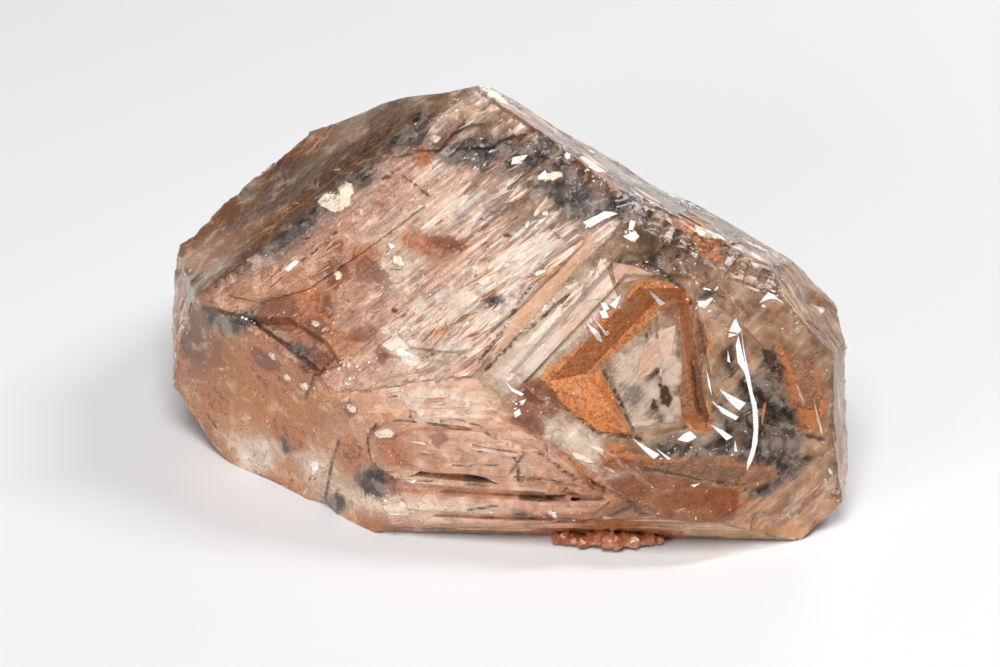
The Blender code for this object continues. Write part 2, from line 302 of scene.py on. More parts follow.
# %% Face table
SKIN = {
    # face: (colour, milkiness, comb strength, growth direction, length and width of a streak)
    "great": ((0.60, 0.37, 0.31), 0.86, 0.8, 52, 4.5, 0.5),
    "window": ((0.56, 0.38, 0.27), 0.66, 0.20, 41, 6.0, 0.8),
    "terraced": ((0.72, 0.40, 0.29), 0.90, 0.30, 3, 4.2, 0.7),
    "brown": ((0.50, 0.22, 0.09), 0.84, 0.08, 84, 4.0, 0.7),
    "bevel": ((0.20, 0.115, 0.075), 0.66, 0.12, 109, 12.0, 1.2),
    "sliver": ((0.40, 0.23, 0.14), 0.80, 0.12, 84, 6.0, 1.0),
    "fluted": ((0.58, 0.38, 0.27), 0.78, 0.5, -45, 2.6, 0.5),
    "top_band": ((0.26, 0.15, 0.09), 0.70, 0.3, 44, 9.0, 0.9),
    "shoulder": ((0.50, 0.31, 0.20), 0.80, 0.4, 60, 5.0, 0.8),
    "right_band": ((0.46, 0.26, 0.14), 0.76, 0.4, 80, 7.0, 1.0),
    "corner": ((0.72, 0.31, 0.10), 0.88, 0.25, 35, 4.0, 0.7),
    "back_left": ((0.74, 0.50, 0.43), 0.74, 0.25, 60, 5.0, 0.8),
    "back_top_left": ((0.58, 0.38, 0.31), 0.66, 0.15, 20, 6.0, 1.0),
    "back_right": ((0.74, 0.50, 0.43), 0.74, 0.25, -50, 5.0, 0.8),
    "back_right_side": ((0.62, 0.40, 0.32), 0.66, 0.18, 5, 5.5, 0.9),
    "back": ((0.74, 0.48, 0.40), 0.72, 0.2, 3, 5.5, 0.8),
    "back_left_side": ((0.58, 0.34, 0.24), 0.72, 0.1, 5, 5.0, 1.0),
    "under": ((0.45, 0.28, 0.18), 0.65, 0.4, 0, 9.0, 1.0),
    "under_front": ((0.90, 0.54, 0.31), 0.86, 0.4, 0, 10.0, 0.5),
}
points = net_points(body)
places = {face: face_places(points, face) for face in FACES}
names = list(SKIN)
nearest = np.stack([places[name][:, 2] for name in names]).argmax(0)
print("points on the great face:", (nearest == names.index("great")).sum())

# %% [markdown]
# ## Pointing through the lens
# A stain is easiest to place where it is seen. The tables below point at spots of the camera's view,
# counted in points from its top left corner, as a finger would on the finder's glass. The line of
# sight through a spot is followed to the plane of a face, and where it lands is the stain's place on
# that face, in millimetres. From there on it belongs to the crystal, whichever side is looked at.

# %% Line of sight
VIEW_WIDTH, VIEW_HEIGHT = 1000, 667
# A millimetre at the aim covers about this many points of the view.
POINTS_PER_MM = 10.18
FOCUS = POINTS_PER_MM * VIEW_DISTANCE / MM


def seen(face, spot, sunk=0.0):
    """The place on a face, or on a plane sunk below it, that shows at a spot of the view."""
    sight = Vector((spot[0] - VIEW_WIDTH / 2, VIEW_HEIGHT / 2 - spot[1], -FOCUS))
    inward = on_face(face, out=-sunk).inverted()
    eye = inward @ camera.location
    way = inward.to_3x3() @ camera.rotation_euler.to_matrix() @ sight
    landed = (eye - way * (eye.z / way.z)) / MM
    return round(landed.x, 1), round(landed.y, 1)


def trace(face, spots, sunk=0.0):
    return [seen(face, spot, sunk) for spot in spots]


lens_focus = camera_data.lens / camera_data.sensor_width * VIEW_WIDTH
print("focus:", round(FOCUS), "points, and by the lens", round(lens_focus))

# %% [markdown]
# ## Where the stains lie
# A stain has a face, a depth and an outline. The outlines are given one by one, as a sign painter would
# chalk them, and the net's points then store how far inside the nearest outline they lie. A
# distance needs no fine net: the finish turns it into an edge, and breaks that edge up with noise.

# %% Chalk
PATCHES = {}
LINES = {}


def chalk(kind, rows):
    """Lays outlines on their faces. A row is a face, a depth in millimetres and an outline."""
    PATCHES[kind] = [(face, sunk, trace(face, outline, sunk)) for face, sunk, outline in rows]
    print(kind + ":", len(rows), "outlines")


def chalk_lines(kind, rows):
    """Lays lines on their faces. A row is a face, a depth, a width in millimetres and a path."""
    LINES[kind] = [(face, sunk, width, trace(face, path, sunk)) for face, sunk, width, path in rows]
    print(kind + ":", len(rows), "lines")


# %% Orange clay
# Orange clay fills the window's hollow.
chalk("clay", [
    ("window", 1.5, [(541, 378), (545, 366), (556, 364), (560, 357), (572, 352), (578, 345),
     (590, 340), (586, 330), (597, 322), (601, 315), (612, 309), (620, 303), (629, 290), (634, 283),
     (655, 278), (674, 284), (683, 290), (690, 298), (688, 306), (678, 304), (660, 316), (645, 333),
     (626, 347), (600, 369), (580, 378), (556, 392)]),
    ("window", 2, [(560, 386), (600, 371), (607, 381), (616, 398), (624, 415), (631, 433), (622, 436),
     (606, 434), (592, 428), (566, 411), (553, 398)]),
    ("window", 0.5, [(697, 318), (706, 324), (708, 337), (712, 347), (709, 357), (702, 366),
     (701, 378), (704, 390), (707, 400), (714, 418), (712, 432), (706, 436), (700, 425), (697, 405),
     (692, 385), (692, 345)]),
    ("window", 1, [(683, 420), (690, 416), (700, 419), (708, 427), (700, 432), (688, 428)]),
])

# %% Rust
# Rust is dark red iron stain, dense and with crisp rims.
chalk("rust", [
    ("window", 0.5, [(519, 384), (540, 380), (556, 384), (562, 392), (570, 402), (556, 414),
     (548, 418), (536, 410), (524, 400)]),
    ("window", 0.3, [(512, 405), (525, 400), (535, 412), (545, 425), (541, 441), (525, 431),
     (510, 420)]),
    ("window", 0.3, [(602, 482), (640, 472), (680, 479), (715, 485), (740, 490), (735, 521),
     (700, 522), (660, 518), (645, 510), (622, 494)]),
    ("window", 0.3, [(600, 464), (620, 460), (642, 464), (636, 474), (612, 470)]),
    ("window", 1.5, [(664, 303), (672, 306), (678, 322), (668, 316)]),
    ("terraced", 0, [(598, 517), (610, 508), (626, 500), (640, 508), (655, 518), (630, 519)]),
    ("terraced", 0, [(388, 478), (396, 480), (400, 492), (392, 494)]),
    ("great", 0, [(325, 243), (335, 240), (347, 243), (342, 252), (333, 255), (326, 250)]),
    ("great", 0, [(322, 268), (335, 258), (345, 262), (350, 275), (340, 285), (335, 290), (325, 285)]),
    ("great", 0, [(355, 265), (365, 255), (378, 260), (383, 270), (392, 278), (388, 288), (375, 290),
     (368, 280), (358, 280)]),
    ("great", 0, [(320, 294), (330, 292), (334, 306), (330, 318), (322, 312)]),
    ("great", 0, [(316, 360), (332, 348), (322, 372), (314, 378)]),
    ("great", 0, [(440, 137), (450, 132), (460, 136), (452, 141)]),
    ("brown", 0, [(296, 356), (306, 360), (316, 370), (306, 374), (298, 366)]),
    ("great", 0, [(262, 300), (280, 292), (296, 300), (300, 318), (288, 330), (270, 328), (258, 316)]),
    ("great", 0, [(300, 320), (318, 318), (330, 330), (318, 342), (304, 338)]),
    ("great", 0, [(350, 330), (366, 322), (380, 330), (370, 342), (356, 342)]),
    ("great", 0, [(425, 232), (450, 238), (468, 246), (450, 252), (430, 246)]),
    ("great", 0, [(372, 352), (384, 346), (390, 356), (380, 364)]),
    ("terraced", 0, [(340, 402), (352, 398), (358, 412), (348, 420)]),
    ("terraced", 0, [(430, 428), (446, 426), (452, 434), (440, 440)]),
    ("terraced", 0, [(560, 480), (590, 484), (606, 492), (580, 494)]),
    ("brown", 0, [(250, 345), (270, 352), (284, 366), (270, 372), (254, 360)]),
])

# %% Amber
# Amber is the same iron, thinner and see-through.
chalk("amber", [
    ("terraced", 0, [(385, 428), (400, 438), (414, 446), (408, 464), (390, 464), (380, 450),
     (376, 438)]),
    ("great", 0, [(278, 302), (292, 297), (310, 290), (325, 294), (333, 310), (330, 322), (345, 338),
     (325, 342), (300, 338), (282, 332), (262, 318)]),
    ("great", 0, [(402, 238), (412, 232), (425, 235), (440, 240), (455, 243), (470, 243), (460, 252),
     (440, 256), (422, 252), (408, 246)]),
    ("great", 0, [(320, 350), (330, 341), (345, 338), (362, 335), (350, 348), (335, 358), (322, 362)]),
    ("great", 0, [(413, 152), (425, 150), (432, 160), (420, 165)]),
    ("great", 0, [(352, 250), (372, 248), (380, 256), (366, 262), (352, 262)]),
    ("brown", 0, [(270, 420), (284, 420), (292, 425), (305, 432), (306, 447), (295, 450), (283, 440),
     (272, 434)]),
    ("brown", 0, [(340, 440), (352, 436), (363, 450), (362, 462), (350, 468), (340, 458)]),
    ("brown", 0, [(240, 345), (262, 350), (280, 366), (292, 384), (280, 400), (262, 392), (246, 370)]),
    ("brown", 0, [(200, 390), (216, 388), (228, 402), (224, 416), (206, 408)]),
    ("terraced", 0, [(545, 512), (575, 514), (600, 517), (596, 522), (560, 520)]),
    ("window", 0.3, [(770, 337), (785, 347), (800, 356), (815, 374), (822, 395), (824, 418),
     (816, 422), (811, 434), (804, 431), (797, 412), (789, 392), (781, 366)]),
    ("window", 0.3, [(640, 461), (680, 462), (720, 464), (745, 465), (765, 468), (772, 474),
     (766, 480), (750, 484), (735, 484), (700, 479), (670, 470), (640, 467)]),
    ("window", 0.3, [(608, 441), (630, 442), (640, 455), (630, 462), (605, 464), (600, 455)]),
    ("window", 0.3, [(696, 486), (730, 488), (748, 500), (742, 516), (716, 514), (702, 500)]),
    ("window", 1, [(684, 300), (694, 304), (694, 330), (686, 330), (680, 315)]),
    ("shoulder", 0, [(740, 296), (752, 306), (764, 326), (770, 340), (758, 330), (746, 312)]),
    ("right_band", 0, [(792, 352), (806, 356), (818, 376), (822, 396), (812, 392), (800, 372)]),
    ("under_front", 0, [(559, 524), (613, 524), (653, 526), (633, 532), (584, 531)]),
])

# %% Clear patches, painted dark
# Clear patches are glass with little milk in it, painted dark as the shade seen through it.
chalk("clear_painted_dark", [
    ("great", 0, [(256, 254), (270, 240), (285, 225), (300, 214), (314, 203), (322, 213), (308, 230),
     (290, 242), (276, 252), (264, 258)]),
    ("great", 0, [(322, 186), (332, 176), (350, 172), (368, 164), (376, 171), (366, 184), (352, 188),
     (338, 184), (328, 192)]),
    ("great", 0, [(384, 134), (402, 127), (424, 124), (430, 134), (424, 148), (408, 152), (390, 148)]),
    ("great", 0, [(432, 150), (450, 142), (470, 139), (500, 139), (520, 137), (546, 139), (556, 148),
     (548, 166), (530, 170), (510, 171), (494, 177), (478, 172), (466, 166), (450, 166), (438, 160)]),
    ("great", 0, [(546, 166), (580, 158), (602, 165), (617, 180), (627, 196), (630, 208), (618, 213),
     (600, 219), (590, 227), (570, 222), (556, 207), (546, 195), (528, 190), (522, 183), (536, 180)]),
    ("great", 0, [(483, 297), (495, 297), (504, 303), (496, 308), (486, 304)]),
    ("great", 0, [(282, 340), (298, 340), (312, 350), (316, 360), (306, 362), (292, 352)]),
    ("terraced", 0, [(360, 472), (370, 468), (382, 472), (389, 481), (387, 492), (378, 500),
     (366, 499), (356, 490), (355, 478)]),
    ("terraced", 0, [(516, 511), (526, 508), (532, 512), (526, 516), (518, 515)]),
    ("terraced", 0, [(466, 476), (480, 474), (494, 477), (484, 481), (470, 480)]),
    ("brown", 0, [(206, 308), (228, 314), (250, 317), (256, 326), (240, 334), (222, 332), (208, 324)]),
    ("brown", 0, [(280, 438), (290, 438), (296, 448), (290, 455), (282, 449)]),
    ("brown", 0, [(322, 498), (338, 492), (352, 500), (340, 512), (328, 510)]),
    ("window", 0.3, [(740, 380), (760, 372), (776, 372), (783, 384), (790, 398), (797, 416),
     (804, 430), (800, 441), (789, 445), (802, 452), (810, 458), (800, 472), (782, 486), (765, 499),
     (752, 498), (744, 488), (752, 486), (768, 482), (774, 474), (768, 466), (748, 462), (735, 460),
     (740, 440), (733, 425)]),
    ("window", 0.3, [(716, 408), (728, 400), (734, 424), (738, 460), (705, 459), (690, 456),
     (684, 446), (700, 442), (716, 440), (722, 425)]),
    ("window", 0.3, [(650, 446), (672, 438), (690, 446), (694, 458), (668, 457)]),
    ("window", 0.3, [(762, 348), (774, 352), (780, 364), (783, 376), (775, 378), (764, 366)]),
    ("window", 0.3, [(724, 352), (732, 346), (738, 360), (734, 376), (724, 372)]),
    ("window", 4, [(640, 358), (652, 362), (656, 376), (646, 380), (636, 370)]),
    ("window", 4, [(620, 384), (634, 382), (644, 398), (636, 410), (624, 400)]),
    ("window", 4, [(659, 384), (666, 386), (672, 398), (668, 408), (660, 402)]),
    ("window", 4, [(650, 404), (662, 410), (664, 424), (654, 426), (648, 414)]),
    ("shoulder", 0, [(700, 222), (716, 222), (726, 232), (740, 244), (728, 250), (712, 244),
     (702, 236)]),
    ("shoulder", 0, [(764, 300), (776, 300), (790, 318), (800, 334), (788, 332), (774, 318)]),
    ("right_band", 0, [(822, 362), (830, 364), (832, 400), (826, 420), (822, 396)]),
    ("fluted", 0, [(706, 282), (718, 280), (724, 288), (714, 294), (706, 290)]),
    ("fluted", 0, [(650, 250), (662, 248), (668, 256), (658, 260)]),
    ("great", 0, [(600, 170), (622, 184), (640, 200), (648, 214), (636, 222), (628, 210), (616, 196),
     (604, 184)]),
    ("great", 0, [(402, 150), (440, 146), (470, 152), (500, 160), (470, 166), (440, 160), (412, 158)]),
    ("great", 0, [(405, 112), (420, 104), (432, 112), (428, 122), (414, 124)]),
])

# %% Pale veils
# Pale veils are thin milk with soft rims.
chalk("pale", [
    ("window", 0.3, [(490, 372), (520, 342), (552, 312), (582, 284), (596, 262), (604, 258),
     (612, 280), (620, 302), (600, 316), (590, 336), (572, 350), (556, 362), (541, 376), (520, 382),
     (505, 388), (492, 384)]),
    ("window", 4, [(605, 372), (628, 350), (646, 334), (658, 322), (675, 325), (681, 345), (682, 370),
     (680, 395), (683, 412), (672, 425), (652, 432), (640, 436), (632, 428), (622, 405)]),
    ("window", 0.3, [(545, 420), (572, 425), (600, 438), (600, 455), (594, 466), (600, 478),
     (618, 474), (640, 468), (600, 482), (570, 464), (548, 448)]),
    ("great", 0, [(500, 262), (520, 240), (545, 222), (565, 226), (560, 248), (545, 268), (530, 284),
     (505, 300), (486, 292), (484, 278)]),
    ("great", 0, [(440, 350), (470, 330), (500, 310), (530, 296), (528, 312), (502, 334), (480, 352),
     (455, 364), (440, 362)]),
    ("great", 0, [(380, 330), (410, 308), (440, 290), (462, 290), (440, 312), (412, 332), (392, 344)]),
    ("great", 0, [(395, 345), (412, 352), (424, 358), (410, 362), (397, 356)]),
    ("great", 0, [(262, 322), (278, 318), (290, 324), (284, 334), (268, 332)]),
    ("terraced", 0, [(402, 394), (430, 392), (470, 394), (478, 404), (470, 414), (440, 416),
     (418, 418), (408, 404)]),
    ("terraced", 0, [(392, 462), (408, 470), (440, 474), (430, 478), (404, 476), (388, 468)]),
    ("brown", 0, [(234, 454), (246, 444), (258, 432), (270, 444), (276, 460), (262, 472), (250, 470)]),
])

# %% Cream bands
# Cream bands are dense white milk.
chalk("cream", [
    ("great", 0, [(316, 200), (322, 194), (332, 192), (340, 197), (338, 188), (345, 181), (352, 183),
     (355, 190), (350, 195), (350, 205), (340, 213), (328, 210), (320, 206)]),
    ("great", 0, [(430, 140), (437, 135), (443, 139), (440, 145), (433, 144)]),
    ("great", 0, [(537, 178), (548, 172), (560, 172), (565, 176), (555, 180), (543, 181)]),
    ("great", 0, [(540, 213), (548, 209), (552, 212), (545, 217)]),
    ("great", 0, [(523, 224), (528, 218), (532, 222), (526, 228)]),
    ("great", 0, [(563, 152), (570, 152), (571, 158), (565, 158)]),
    ("great", 0, [(572, 148), (585, 149), (594, 156), (602, 164), (597, 169), (587, 163), (577, 155)]),
    ("great", 0, [(622, 235), (633, 229), (638, 234), (631, 240)]),
    ("great", 0, [(629, 220), (633, 220), (633, 228), (629, 228)]),
    ("great", 0, [(388, 243), (395, 246), (396, 249), (389, 247)]),
    ("great", 0, [(334, 270), (340, 270), (341, 278), (335, 280)]),
    ("great", 0, [(310, 320), (320, 322), (321, 328), (312, 327)]),
    ("great", 0, [(392, 254), (402, 256), (404, 266), (394, 266)]),
    ("great", 0, [(534, 276), (545, 272), (550, 274), (540, 280)]),
    ("brown", 0, [(268, 352), (275, 354), (277, 360), (270, 358)]),
    ("brown", 0, [(312, 462), (318, 460), (319, 468), (314, 472)]),
    ("brown", 0, [(300, 382), (308, 382), (312, 390), (303, 388)]),
    ("brown", 0, [(284, 372), (292, 374), (292, 380), (285, 379)]),
    ("terraced", 0, [(376, 428), (392, 424), (398, 432), (388, 436), (378, 436)]),
    ("terraced", 0, [(348, 402), (358, 406), (356, 414), (349, 411)]),
    ("terraced", 0, [(383, 506), (404, 502), (420, 508), (408, 516), (390, 515)]),
    ("terraced", 0, [(548, 508), (553, 508), (554, 519), (549, 519)]),
    ("shoulder", 0, [(700, 207), (716, 212), (736, 224), (742, 234), (728, 226), (708, 216)]),
    ("corner", 0, [(828, 468), (833, 470), (834, 480), (829, 478)]),
    ("corner", 0, [(832, 488), (842, 492), (842, 500), (834, 496)]),
])

# %% Wide seams and shaded step feet
# Seams are cracks, and the feet of steps with painted shade. Some are wide enough to need an outline.
chalk("seam_and_shade", [
    ("window", 4, [(659, 384), (666, 386), (672, 398), (668, 409), (661, 402)]),
    ("window", 4, [(652, 398), (657, 402), (656, 412), (651, 408)]),
    ("window", 0.3, [(764, 350), (772, 350), (776, 360), (770, 366)]),
    ("window", 0.3, [(778, 364), (784, 368), (784, 378), (779, 376)]),
    ("great", 0, [(392, 308), (398, 309), (397, 312), (392, 311)]),
    ("great", 0, [(505, 234), (511, 234), (510, 237), (505, 237)]),
])

# %% Seam and shade lines
chalk_lines("seam_and_shade", [
    ("great", 0, 0.34, [(203, 306), (225, 312), (250, 318), (262, 328), (280, 340), (300, 355),
     (314, 368)]),
    ("great", 0, 0.15, [(545, 270), (535, 285), (522, 300), (512, 318), (498, 336), (486, 352),
     (478, 362)]),
    ("great", 0, 0.15, [(400, 358), (412, 362), (424, 357), (436, 355)]),
    ("great", 0, 0.12, [(436, 322), (446, 322), (448, 330), (438, 344), (430, 356)]),
    ("great", 0, 0.12, [(500, 262), (490, 275), (480, 283)]),
    ("great", 0, 0.15, [(404, 206), (396, 218), (384, 226)]),
    ("great", 0, 0.15, [(302, 262), (316, 252), (328, 240), (336, 232)]),
    ("great", 0, 0.15, [(376, 182), (388, 176), (402, 168)]),
    ("great", 0, 0.12, [(214, 290), (232, 270), (244, 262)]),
    ("great", 0, 0.12, [(546, 148), (556, 142), (566, 146)]),
    ("great", 0, 0.12, [(380, 178), (404, 176), (428, 196)]),
    ("great", 0, 0.12, [(550, 228), (556, 236), (560, 238)]),
    ("terraced", 0, 0.15, [(404, 398), (410, 408), (416, 420)]),
    ("terraced", 0, 0.15, [(376, 424), (368, 436), (368, 450), (378, 466), (386, 472)]),
    ("terraced", 0, 0.12, [(376, 426), (390, 418), (404, 417), (420, 420)]),
    ("terraced", 0, 0.15, [(388, 478), (412, 477), (430, 478), (440, 478)]),
    ("terraced", 0, 0.12, [(440, 418), (460, 416), (480, 422), (500, 434)]),
    ("terraced", 0, 0.12, [(454, 460), (476, 460), (500, 459)]),
    ("terraced", 0, 0.15, [(515, 446), (535, 446), (560, 462), (590, 480), (612, 492), (640, 508)]),
    ("terraced", 0, 0.12, [(520, 478), (545, 476), (575, 478)]),
    ("terraced", 0, 0.15, [(520, 496), (550, 497), (580, 495)]),
    ("terraced", 0, 0.12, [(470, 508), (486, 505), (498, 503)]),
    ("terraced", 0, 0.15, [(590, 520), (612, 515), (632, 506), (650, 517)]),
    ("terraced", 0, 0.12, [(515, 446), (520, 462), (520, 478)]),
    ("window", 0.5, 0.29, [(556, 400), (575, 415), (598, 433), (628, 437), (642, 440)]),
    ("window", 0.5, 0.25, [(690, 298), (694, 312), (693, 330), (692, 360), (694, 385), (700, 402),
     (706, 428)]),
    ("window", 0.3, 0.2, [(640, 470), (680, 475), (720, 483), (745, 485)]),
    ("window", 3, 0.2, [(604, 372), (616, 392), (626, 414), (633, 434)]),
    ("window", 4, 0.18, [(646, 334), (652, 358), (660, 380)]),
    ("window", 3, 0.18, [(658, 318), (658, 338)]),
    ("window", 0.2, 0.25, [(620, 262), (650, 263), (668, 276), (684, 288)]),
    ("window", 0, 0.22, [(484, 372), (520, 336), (556, 306), (570, 296)]),
    ("brown", 0, 0.2, [(306, 398), (312, 386), (318, 370)]),
    ("brown", 0, 0.2, [(340, 440), (334, 462), (326, 500)]),
    ("brown", 0, 0.2, [(204, 412), (216, 428)]),
    ("shoulder", 0, 0.25, [(756, 296), (770, 312), (786, 330), (800, 336)]),
    ("shoulder", 0, 0.2, [(808, 322), (818, 330)]),
    ("right_band", 0, 0.2, [(822, 356), (824, 380), (822, 410), (832, 440)]),
])

# %% Rust lines
chalk_lines("rust", [
    ("bevel", 0, 0.44, [(208, 292), (232, 270), (252, 254), (272, 236), (290, 216), (312, 196),
     (338, 176), (360, 160)]),
    ("great", 0, 0.29, [(690, 236), (682, 228), (676, 218)]),
    ("window", 0.3, 0.29, [(655, 276), (670, 276), (684, 290)]),
])

# %% Amber lines
chalk_lines("amber", [
    ("terraced", 0, 0.34, [(560, 462), (590, 478), (612, 492), (640, 508)]),
])
